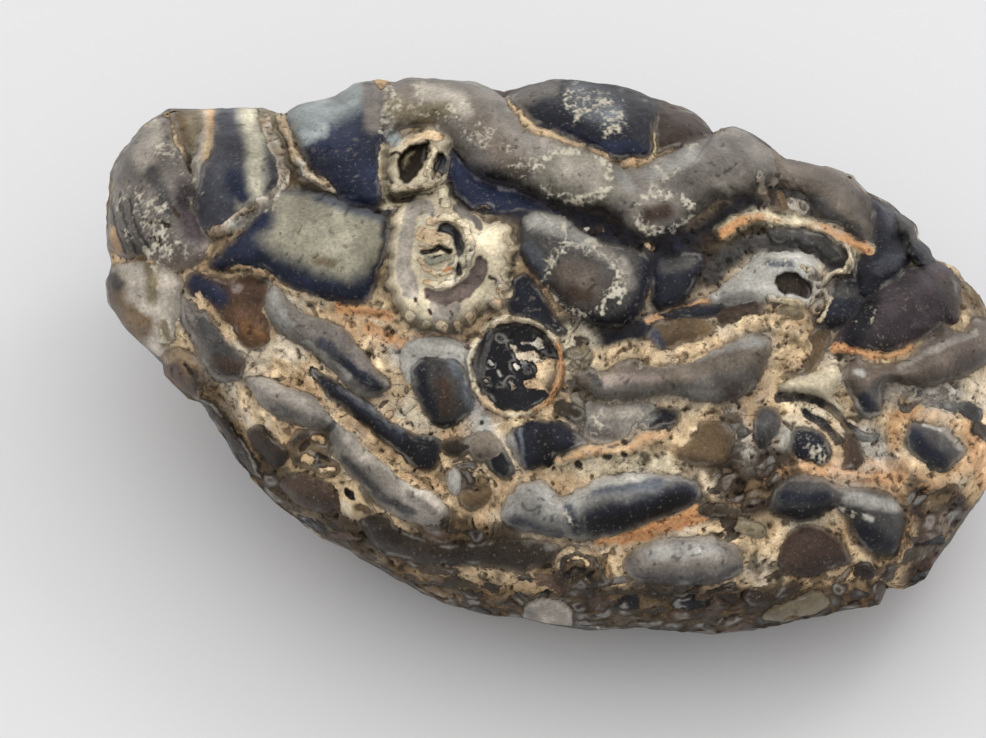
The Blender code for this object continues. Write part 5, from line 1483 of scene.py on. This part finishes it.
# The crust: a crumbly cement of silica, white, cream or tan, rough, pitted and cracked. Dark pores and
# stains crowd it where MURKS lie: amount, half width in pixels, line. GRITS on the crust, and
# UNEVENNESSES on bare swellings, have a height and a size in millimetres, and a seed.
MURKS = [
    (0.4, 20, [(575, 345), (580, 400)]),
    (0.6, 16, [(560, 405), (580, 414)]),
    (0.55, 24, [(718, 420), (742, 450), (790, 462)]),
    (0.5, 22, [(690, 470), (722, 500)]),
    (0.55, 22, [(232, 450), (300, 500), (370, 540)]),
    (0.55, 16, [(450, 478), (492, 500)]),
    (0.3, 14, [(790, 334), (815, 345)]),
    (0.4, 18, [(764, 560), (780, 590)]),
    (0.5, 16, [(600, 596), (750, 592)]),
    (0.4, 12, [(800, 286), (812, 300)]),
    (0.45, 18, [(880, 560), (905, 520)]),
    (0.2, 18, [(700, 440), (650, 448)]),
    (0.5, 18, [(440, 512), (520, 540)]),
]
MURK_EVERYWHERE = 0.06
MURK_NOISE = (1.7, 89)
MURK_NOISE_SHARE = 0.45
MURK_EDGE = (0.3, 0.6)
MURK_COVER = 0.85
CRUST_BLOTCHES = (0.9, 85)
CRUST_BLOTCH_SHARE = 0.45
CRUST_HUES = (4.5, 81)
CRUST_HUE_EDGE = (0.1, 0.7)
CHALK_COVER = 0.55
TAN_COVER = 0.6
CRUST_FILM_COVER = 0.6
CRUST_LINE_EDGE = (0.5, 1.0)
CRUST_LINE_SHARE = 0.3
PITS = (0.8, 31)
SMALL_PITS = (0.4, 32)
SMALL_PIT_SHARE = 0.5
PIT_EDGE = (0.5, 0.85)
PIT_DEPTH = 0.4
CRACKS = (1.7, 87)
CRACK_EDGE = (0.95, 0.995)
CRACK_PLACES = (3.0, 88)
CRACK_PLACE_EDGE = (0.1, 0.5)
CRACK_DEPTH = 0.2
CRACK_SHADE = 0.45
STAIN_CALM = 0.7
GRITS = [(0.12, 1.1, 21), (0.1, 0.5, 22), (0.05, 0.26, 23)]
UNEVENNESSES = [(0.14, 2.2, 24), (0.06, 0.9, 25), (0.02, 0.35, 26)]
PINPRICK_DEPTH = 0.06
LACE_HEIGHT = 0.07
LACE_GRIT = 0.5

murk = np.zeros(len(plain))
murk[front] = MURK_EVERYWHERE + dust(strayed, MURKS)
murk = ease(murk + MURK_NOISE_SHARE * layers(*MURK_NOISE) * (murk > 0), *MURK_EDGE)
bed = bed * np.exp(CRUST_BLOTCH_SHARE * layers(*CRUST_BLOTCHES))[:, None]
lay_over(bed, "soil", MURK_COVER * murk)
hue = layers(*CRUST_HUES)
pale = np.minimum(1, bed.mean(axis=1) / linear("cream").mean())
lay_over(bed, "chalk", CHALK_COVER * pale * ease(hue, *CRUST_HUE_EDGE))
lay_over(bed, "tan", TAN_COVER * pale * ease(-hue, *CRUST_HUE_EDGE))
lay_over(bed, "pearl", CRUST_FILM_COVER * film * pale)
bed *= (1 - CRUST_LINE_SHARE * film * ease(-lines, *CRUST_LINE_EDGE))[:, None]
pits = ease(noise(turned, *PITS) + SMALL_PIT_SHARE * noise(turned, *SMALL_PITS), *PIT_EDGE)
cracks = ease(1 - abs(noise(swirled, *CRACKS)), *CRACK_EDGE)
cracks = cracks * ease(noise(spots, *CRACK_PLACES), *CRACK_PLACE_EDGE)
calm = 1 - STAIN_CALM * np.clip(stain, 0, 1)
# How dark the shader paints the crust's pits and cracks: partly their grime, partly painted shade in them.
pitted = (1 - bare) * calm * np.maximum(pits, CRACK_SHADE * cracks)
grit = sum(rise * noise(spots, size, seed) for rise, size, seed in GRITS)
uneven = sum(rise * noise(spots, size, seed) for rise, size, seed in UNEVENNESSES)
roughness = (1 - bare) * calm * (grit - PIT_DEPTH * pits - CRACK_DEPTH * cracks)
roughness += bare * (uneven - PINPRICK_DEPTH * pinpricks)
roughness += bare * frosty * (LACE_HEIGHT + LACE_GRIT * grit)


# Where crust and chalcedony meet: thin pale rims run just inside the swellings' edges, and dark seams of
# painted shade lie just outside them, in the gap where the crust meets them; each thins out over the other.
# RIM and SEAM are how far outside the edge it lies and how wide it is, in millimetres.
RIM = (-0.3, 0.13)
RIM_PATCHES = (1.6, 101)
RIM_PATCH_EDGE = (-0.1, 0.6)
SEAM = (0.06, 0.09)
SEAM_PATCHES = (1.4, 105)
SEAM_PATCH_EDGE = (-0.2, 0.5)
SEAM_REACH = 0.2
RIM_COVER = 0.4
SEAM_SHADE_ON_CRUST = 0.75
SEAM_SHADE_ON_CHALCEDONY = 0.35
MEETING_SHARE = 0.6
MEETING_REACHES = (0.45, 0.7)
MEETING_PATCHES = (1.2, 99)
MEETING_PATCH_EDGE = (-0.7, 0.3)
MEETING_BLUR = 0.4

rim = np.exp(-(((crust - RIM[0]) / RIM[1]) ** 2)) * ease(layers(*RIM_PATCHES), *RIM_PATCH_EDGE)
seam = np.exp(-(((crust - SEAM[0]) / SEAM[1]) ** 2)) * ease(layers(*SEAM_PATCHES), *SEAM_PATCH_EDGE)
seam *= np.exp(-(((inside + SEAM[0]) / SEAM_REACH) ** 2))
lay_over(tone, "pearl", RIM_COVER * rim)
# Painted shade along the seams, on the crust and, less, on the chalcedony.
bed *= (1 - SEAM_SHADE_ON_CRUST * seam)[:, None]
tone *= (1 - SEAM_SHADE_ON_CHALCEDONY * seam)[:, None]
crust_reach, inside_reach = MEETING_REACHES
meeting = MEETING_SHARE * np.exp(-((crust / crust_reach) ** 2) - (inside / inside_reach) ** 2)
meeting *= ease(layers(*MEETING_PATCHES), *MEETING_PATCH_EDGE)
both = tone * bare[:, None] + bed * (1 - bare)[:, None]
both = np.stack([levelled(channel, MEETING_BLUR) for channel in both.T], axis=1)
tone += meeting[:, None] * (both - tone)
bed += meeting[:, None] * (both - bed)


# The relief of it all: crust fills the narrow gaps between swellings, their upper slopes are painted lighter
# and their lower slopes darker, as painted light and shade from above, and the grooves are given painted
# shade. The stone lies on a worn flat, where the imported solid stands.
GAP_FILL = 0.75
GAP_REACH = 0.8
GAP_FLOOR = -0.05
RELIEF_SHARE = 0.92
GREATEST_SLANT = 0.6
SLOPE_BLUR = 0.45
PAINTED_LIGHT_ON_UPPER_SLOPES = 0.25
PAINTED_SHADE_ON_LOWER_SLOPES = 1.2
PAINTED_SLOPE_LIGHT_ON_BED = 0.5
TUCK = 0.3
TUCK_EDGE = (0.098, 0.115)
FLOOR_CUT = 1.8
CREVICE_SHADE_REACHES = [(0.65, 0.5), (0.2, 0.16)]
STONE_NODE = "agate_nodule"
MM = 0.001

facing = normals @ TO_VIEWER
filled = GAP_FILL * levelled(np.maximum(relief, 0), GAP_REACH)
relief = np.maximum(relief, filled * (relief > GAP_FLOOR))
relief = RELIEF_SHARE * levelled(relief, RELIEF_BLUR)
# Painted light and shade: the tone is lightened where the smoothed swellings face up and darkened where they
# face down, and the bed likewise but less.
smooth_form = to_world(places, depth + seen * levelled(relief, SLOPE_BLUR))
upper = (grid_normals(smooth_form) - normals) @ UP
upper = seen * np.where(upper > 0, PAINTED_LIGHT_ON_UPPER_SLOPES, PAINTED_SHADE_ON_LOWER_SLOPES) * upper
tone *= np.exp(upper)[:, None]
bed *= np.exp(PAINTED_SLOPE_LIGHT_ON_BED * upper)[:, None]
points = to_world(places, depth + seen * relief / np.clip(facing, GREATEST_SLANT, 1))
roughness[face_count:] -= TUCK * ease(toward[face_count:], *TUCK_EDGE)
points += normals * (unseen * knobs + roughness)[:, None]
points[:, 2] = np.maximum(points[:, 2], points[:, 2].min() + FLOOR_CUT)
height = ((points - plain) * normals).sum(axis=1)
# Painted shade: how far each point lies below its blurred surroundings, which the shader darkens towards
# bark.
crevice_shade = np.max([(levelled(height, reach) - height) / low for reach, low in CREVICE_SHADE_REACHES], axis=0)

low, high = (np.array(corner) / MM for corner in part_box(STONE_NODE))
shift = (low + high) / 2 - (points.min(axis=0) + points.max(axis=0)) / 2
shift[2] = low[2] - points[:, 2].min()
points += shift


# The skin itself: four wedges that meet without a seam under the face, because one mesh would be too
# dense, and one for the back, each closed to the stone's heart. What the finish needs to know at each
# point rides on them as attributes.
skin = {
    "tone": np.clip(tone, 0, 1),
    "bed": np.clip(bed, 0, 1),
    "crust": crust,
    "stain": stain,
    "frost": frost,
    "pits": pitted,
    "crevice_shade": np.clip(crevice_shade, 0, 1),
}
outward_ways = grid_normals(points)
heart = shift * MM


def wedge(name, numbers):
    """One wedge of the stone: a grid of its outside, given by the points' numbers, closed to its heart."""
    rows, columns = numbers.shape
    count = numbers.size
    local = np.arange(count).reshape(rows, columns)
    quads = np.stack([local[:-1, :-1], local[:-1, 1:], local[1:, 1:], local[1:, :-1]], axis=-1)
    ring = np.concatenate([local[0, :-1], local[:-1, -1], local[-1, :0:-1], local[:0:-1, 0]])
    walls = np.stack([np.roll(ring, -1), ring, np.full(len(ring), count)], axis=1)
    corners = np.vstack([points[numbers.ravel()] * MM, heart])
    mesh = bpy.data.meshes.new(name)
    mesh.from_pydata(corners.tolist(), [], quads.reshape(-1, 4).tolist() + walls.tolist())
    for label, values in skin.items():
        own = values[numbers.ravel()]
        own = np.concatenate([own, own[-1:]])
        if own.ndim == 2:
            layer = mesh.attributes.new(label, "FLOAT_COLOR", "POINT")
            layer.data.foreach_set("color", np.hstack([own, np.ones((count + 1, 1))]).ravel())
        else:
            layer = mesh.attributes.new(label, "FLOAT", "POINT")
            layer.data.foreach_set("value", own)
    mesh.shade_smooth()
    outward = np.vstack([outward_ways[numbers.ravel()], [0, 0, 1]])
    mesh.normals_split_custom_set_from_vertices(outward.tolist())
    mesh.update()
    piece = bpy.data.objects.new(name, mesh)
    bpy.context.scene.collection.objects.link(piece)
    return piece


numbers = np.arange(face_count).reshape(face_grid.shape[:2])
middle_row = FACE_SQUARES[1] // 2
middle_column = FACE_SQUARES[0] // 2
wedges = [
    wedge("face_lower_left", numbers[: middle_row + 1, : middle_column + 1]),
    wedge("face_lower_right", numbers[: middle_row + 1, middle_column:]),
    wedge("face_upper_left", numbers[middle_row:, : middle_column + 1]),
    wedge("face_upper_right", numbers[middle_row:, middle_column:]),
    wedge("back", face_count + np.arange(len(points) - face_count).reshape(back_grid.shape[:2])),
]


# The finish of the crumbly crust, as a shader group: gritty grains of silica in three sizes, lighter and
# darker than the bed's tone, rust where it is stained, and dark pores between the grains, partly grime and
# partly painted shade. Sizes are millimetres. A SPAN is the grain noise at its start and its end, then what
# they stand for.
GRAIN_SIZES = (1.3, 0.45, 0.16)
LIGHT_GRAINS = (1.3, 1.32, 1.35, 1)
DARK_GRAINS = (0.64, 0.56, 0.48, 1)
COARSE_SPAN = (0.3, 0.7)
SMALL_SPAN = (0.3, 0.7, 0.0, 0.5)
TINY_LIGHT_SPAN = (0.5, 0.65, 0.0, 0.7)
TINY_DARK_SPAN = (0.5, 0.35, 0.0, 0.4)
RUST_SPAN = (0.35, 0.65)
STAIN_SPAN = (0.75, 1.25)
PORES = (0.9, 5.0, 0.7)
PORE_SPAN = (0.43, 0.33)
PORE_GRIME_AND_SHADE = 0.75
COARSE_HEIGHT = 1.5


def fill(tree, socket, value):
    """Links a socket to another, or gives it a plain value."""
    if isinstance(value, bpy.types.NodeSocket):
        tree.links.new(value, socket)
    else:
        socket.default_value = value


def node(tree, kind, inputs=None, **settings):
    """Adds a shader node, sets it up, and fills its inputs."""
    made = tree.nodes.new(kind)
    for name, value in settings.items():
        setattr(made, name, value)
    for name, value in (inputs or {}).items():
        fill(tree, made.inputs[name], value)
    return made


def grain(tree, where, size, detail=3.0, roughness=0.55):
    """Noise with grains of this size in millimetres, from 0 to 1."""
    inputs = {"Vector": where, "Scale": 1 / (size * MM), "Detail": detail, "Roughness": roughness}
    return node(tree, "ShaderNodeTexNoise", inputs).outputs["Fac"]


def maths(tree, operation, first, second):
    """One sum on two values."""
    return node(tree, "ShaderNodeMath", {0: first, 1: second}, operation=operation).outputs[0]


def span(tree, value, low, high, start=0.0, end=1.0):
    """The value from low to high, as from start to end."""
    inputs = {"Value": value, "From Min": low, "From Max": high, "To Min": start, "To Max": end}
    return node(tree, "ShaderNodeMapRange", inputs).outputs["Result"]


def blend(tree, factor, first, second, way="MIX"):
    """Mixes two colours."""
    made = node(tree, "ShaderNodeMix", data_type="RGBA", blend_type=way)
    sockets = {socket.name: socket for socket in made.inputs if socket.enabled}
    for name, value in {"Factor": factor, "A": first, "B": second}.items():
        fill(tree, sockets[name], value)
    return next(socket for socket in made.outputs if socket.enabled)


def colour(tone):
    """A named tone for a colour socket."""
    return (*linear(tone), 1)


def group(name, inputs, outputs):
    """An empty node group with named sockets."""
    tree = bpy.data.node_groups.new(name, "ShaderNodeTree")
    for label, kind in inputs:
        tree.interface.new_socket(label, in_out="INPUT", socket_type=kind)
    for label, kind in outputs:
        tree.interface.new_socket(label, in_out="OUTPUT", socket_type=kind)
    return tree, tree.nodes.new("NodeGroupInput"), tree.nodes.new("NodeGroupOutput")


crumb, crumb_in, crumb_out = group(
    "Crumbly crust",
    [("Bed", "NodeSocketColor"), ("Stain", "NodeSocketFloat")],
    [("Color", "NodeSocketColor"), ("Height", "NodeSocketFloat")],
)
where = node(crumb, "ShaderNodeTexCoord").outputs["Object"]
coarse, small, tiny = (grain(crumb, where, size) for size in GRAIN_SIZES)
light = blend(crumb, 1.0, crumb_in.outputs["Bed"], LIGHT_GRAINS, "MULTIPLY")
dark = blend(crumb, 1.0, crumb_in.outputs["Bed"], DARK_GRAINS, "MULTIPLY")
tint = blend(crumb, span(crumb, coarse, *COARSE_SPAN), dark, light)
tint = blend(crumb, span(crumb, small, *SMALL_SPAN), tint, crumb_in.outputs["Bed"])
tint = blend(crumb, span(crumb, tiny, *TINY_LIGHT_SPAN), tint, light)
tint = blend(crumb, span(crumb, tiny, *TINY_DARK_SPAN), tint, dark)
rusty = blend(crumb, span(crumb, small, *RUST_SPAN), colour("rust"), colour("orange"))
amount = span(crumb, maths(crumb, "ADD", crumb_in.outputs["Stain"], small), *STAIN_SPAN)
tint = blend(crumb, amount, tint, rusty)
pores = span(crumb, grain(crumb, where, *PORES), *PORE_SPAN)
# The pores are darkened partly for their grime and partly as painted shade.
tint = blend(crumb, maths(crumb, "MULTIPLY", pores, PORE_GRIME_AND_SHADE), tint, colour("bark"))
crumb.links.new(tint, crumb_out.inputs["Color"])
lump = maths(crumb, "ADD", small, maths(crumb, "MULTIPLY", coarse, COARSE_HEIGHT))
crumb.links.new(maths(crumb, "SUBTRACT", lump, pores), crumb_out.inputs["Height"])


# The stone's own finish: waxy, scuffed chalcedony where it is bare, chalky where it is frosted, and dull
# crust in between, with painted shade in the grooves, and pits darkened partly by grime and partly by
# painted shade. All five meshes wear it, and together they stand for the imported solid.
FINE_GRAIN = 0.35
BROAD_GRAIN = 1.6
SCUFFS = (0.4, 6.0, 0.7)
LIGHT_SCUFFS = (1.22, 1.2, 1.18, 1)
DARK_SCUFFS = (0.72, 0.7, 0.7, 1)
SCUFF_SPAN = (0.35, 0.65)
FROST_RAGS = (0.3, 0.7, -0.25, 0.25)
FROST_SPAN = (0.15, 0.85)
FROST_COVER = 0.9
CRUST_RAGS = 0.5
CRUST_SPAN = (-0.02, 0.1)
CREVICE_SHADE_SPAN = (0.12, 0.9)
CREVICE_SHADE_BY_CRUST = (0, 1, 0.35, 0.7)
PIT_GRIME_AND_SHADE = 0.6
WAXY_TO_DULL = (0.46, 0.85)
FROST_BUMP = 0.35
SCUFF_BUMP = 0.4
SHINE = 0.15
BUMP_STRENGTH = 0.7
BUMP_HEIGHT = 0.3
COLOUR_LAYERS = ("tone", "bed")

finish = bpy.data.materials.new("chalcedony and crust")
finish.use_nodes = True
tree = finish.node_tree
shader = tree.nodes["Principled BSDF"]
where = node(tree, "ShaderNodeTexCoord").outputs["Object"]
layer = {}
for name in skin:
    output = "Color" if name in COLOUR_LAYERS else "Fac"
    layer[name] = node(tree, "ShaderNodeAttribute", attribute_name=name).outputs[output]
fine = grain(tree, where, FINE_GRAIN)
broad = grain(tree, where, BROAD_GRAIN)
crusted = node(tree, "ShaderNodeGroup", node_tree=crumb)
tree.links.new(layer["bed"], crusted.inputs["Bed"])
tree.links.new(layer["stain"], crusted.inputs["Stain"])

scuffs = grain(tree, where, *SCUFFS)
light = blend(tree, 1.0, layer["tone"], LIGHT_SCUFFS, "MULTIPLY")
dark = blend(tree, 1.0, layer["tone"], DARK_SCUFFS, "MULTIPLY")
bare_colour = blend(tree, span(tree, scuffs, *SCUFF_SPAN), dark, light)
frosted = maths(tree, "ADD", layer["frost"], span(tree, fine, *FROST_RAGS))
frosted = maths(tree, "MULTIPLY", span(tree, frosted, *FROST_SPAN), FROST_COVER)
bare_colour = blend(tree, frosted, bare_colour, blend(tree, broad, colour("chalk"), colour("bone")))
edge = maths(tree, "MULTIPLY", maths(tree, "SUBTRACT", fine, 0.5), CRUST_RAGS)
covered = span(tree, maths(tree, "ADD", layer["crust"], edge), *CRUST_SPAN)
tint = blend(tree, covered, bare_colour, crusted.outputs["Color"])
# Painted shade in the grooves, strongest on the crust, and in the pits, partly their grime: all of it
# darkens the colour towards bark.
dirt = span(tree, layer["crevice_shade"], *CREVICE_SHADE_SPAN)
dirt = maths(tree, "MULTIPLY", dirt, span(tree, covered, *CREVICE_SHADE_BY_CRUST))
dirt = maths(tree, "MAXIMUM", dirt, maths(tree, "MULTIPLY", layer["pits"], PIT_GRIME_AND_SHADE))
tree.links.new(blend(tree, dirt, tint, colour("bark")), shader.inputs["Base Color"])
dull = maths(tree, "MAXIMUM", covered, frosted)
tree.links.new(span(tree, dull, 0, 1, *WAXY_TO_DULL), shader.inputs["Roughness"])
rough = maths(tree, "MULTIPLY", crusted.outputs["Height"], covered)
rough = maths(tree, "ADD", rough, maths(tree, "MULTIPLY", frosted, FROST_BUMP))
rough = maths(tree, "ADD", rough, maths(tree, "MULTIPLY", scuffs, SCUFF_BUMP))
shader.inputs["Specular IOR Level"].default_value = SHINE
bump = {"Height": rough, "Strength": BUMP_STRENGTH, "Distance": BUMP_HEIGHT * MM}
bump = node(tree, "ShaderNodeBump", bump)
tree.links.new(bump.outputs["Normal"], shader.inputs["Normal"])

for piece in wedges:
    piece.data.materials.append(finish)
    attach(piece, "root")
    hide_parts(STONE_NODE)


# The setting: a plain pale floor in even studio light, with a large soft light overhead, another over
# the viewer's head, and a small one from behind on the right. Each light has its place, its size in
# metres, its power and its tint.
FLOOR_SIZE = 3.0
FLOOR_TINT = (0.74, 0.745, 0.76, 1)
FLOOR_ROUGHNESS = 0.9
ROOM_TINT = (1.0, 0.99, 0.98, 1)
ROOM_STRENGTH = 0.92
LIT_SPOT = (0, 0, 0.02)
LIGHTS = [
    ("ceiling", (0.1, 0.05, 0.85), 0.8, 1.0, (1.0, 0.99, 0.98)),
    ("front", (0.0, -0.6, 0.9), 0.9, 0.9, (1.0, 0.99, 0.98)),
    ("window", (0.35, 0.25, 0.6), 0.2, 0.4, (1.0, 0.99, 0.97)),
]

floor_mesh = bpy.data.meshes.new("floor")
sheet = bmesh.new()
bmesh.ops.create_grid(sheet, x_segments=1, y_segments=1, size=FLOOR_SIZE)
sheet.to_mesh(floor_mesh)
sheet.free()
floor = bpy.data.objects.new("floor", floor_mesh)
bpy.context.scene.collection.objects.link(floor)
paper = bpy.data.materials.new("pale floor")
paper.use_nodes = True
paper.node_tree.nodes["Principled BSDF"].inputs["Base Color"].default_value = FLOOR_TINT
paper.node_tree.nodes["Principled BSDF"].inputs["Roughness"].default_value = FLOOR_ROUGHNESS
floor_mesh.materials.append(paper)

world = bpy.data.worlds.new("studio")
world.use_nodes = True
world.node_tree.nodes["Background"].inputs["Color"].default_value = ROOM_TINT
world.node_tree.nodes["Background"].inputs["Strength"].default_value = ROOM_STRENGTH
bpy.context.scene.world = world
bpy.context.scene.view_settings.view_transform = "Standard"

for name, spot, size, power, tint in LIGHTS:
    lamp = bpy.data.lights.new(name, "AREA")
    lamp.size = size
    lamp.energy = power
    lamp.color = tint
    holder = bpy.data.objects.new(name, lamp)
    bpy.context.scene.collection.objects.link(holder)
    holder.location = spot
    holder.rotation_euler = (Vector(LIT_SPOT) - Vector(spot)).to_track_quat("-Z", "Y").to_euler()


# The camera stands where the viewer does, and looks down the line of sight that the face is laid out
# for, at the middle of the picture.
PICTURE_SIZE = (986, 738)
SENSOR = 36.0

frame_middle = to_plane((PICTURE_SIZE[0] / 2, PICTURE_SIZE[1] / 2))
side = np.array([1.0, 0.0, 0.0])
eye = Vector((shift + TO_VIEWER * VIEW_DISTANCE) * MM)
aim = Vector((shift + side * frame_middle[0] + UP * frame_middle[1]) * MM)
lens = bpy.data.cameras.new("camera")
lens.sensor_width = SENSOR
lens.lens = SENSOR * VIEW_DISTANCE / (PICTURE_SIZE[0] * MM_PER_PIXEL)
camera = bpy.data.objects.new("camera", lens)
bpy.context.scene.collection.objects.link(camera)
camera.location = eye
camera.rotation_euler = (aim - eye).to_track_quat("-Z", "Y").to_euler()
bpy.context.scene.camera = camera
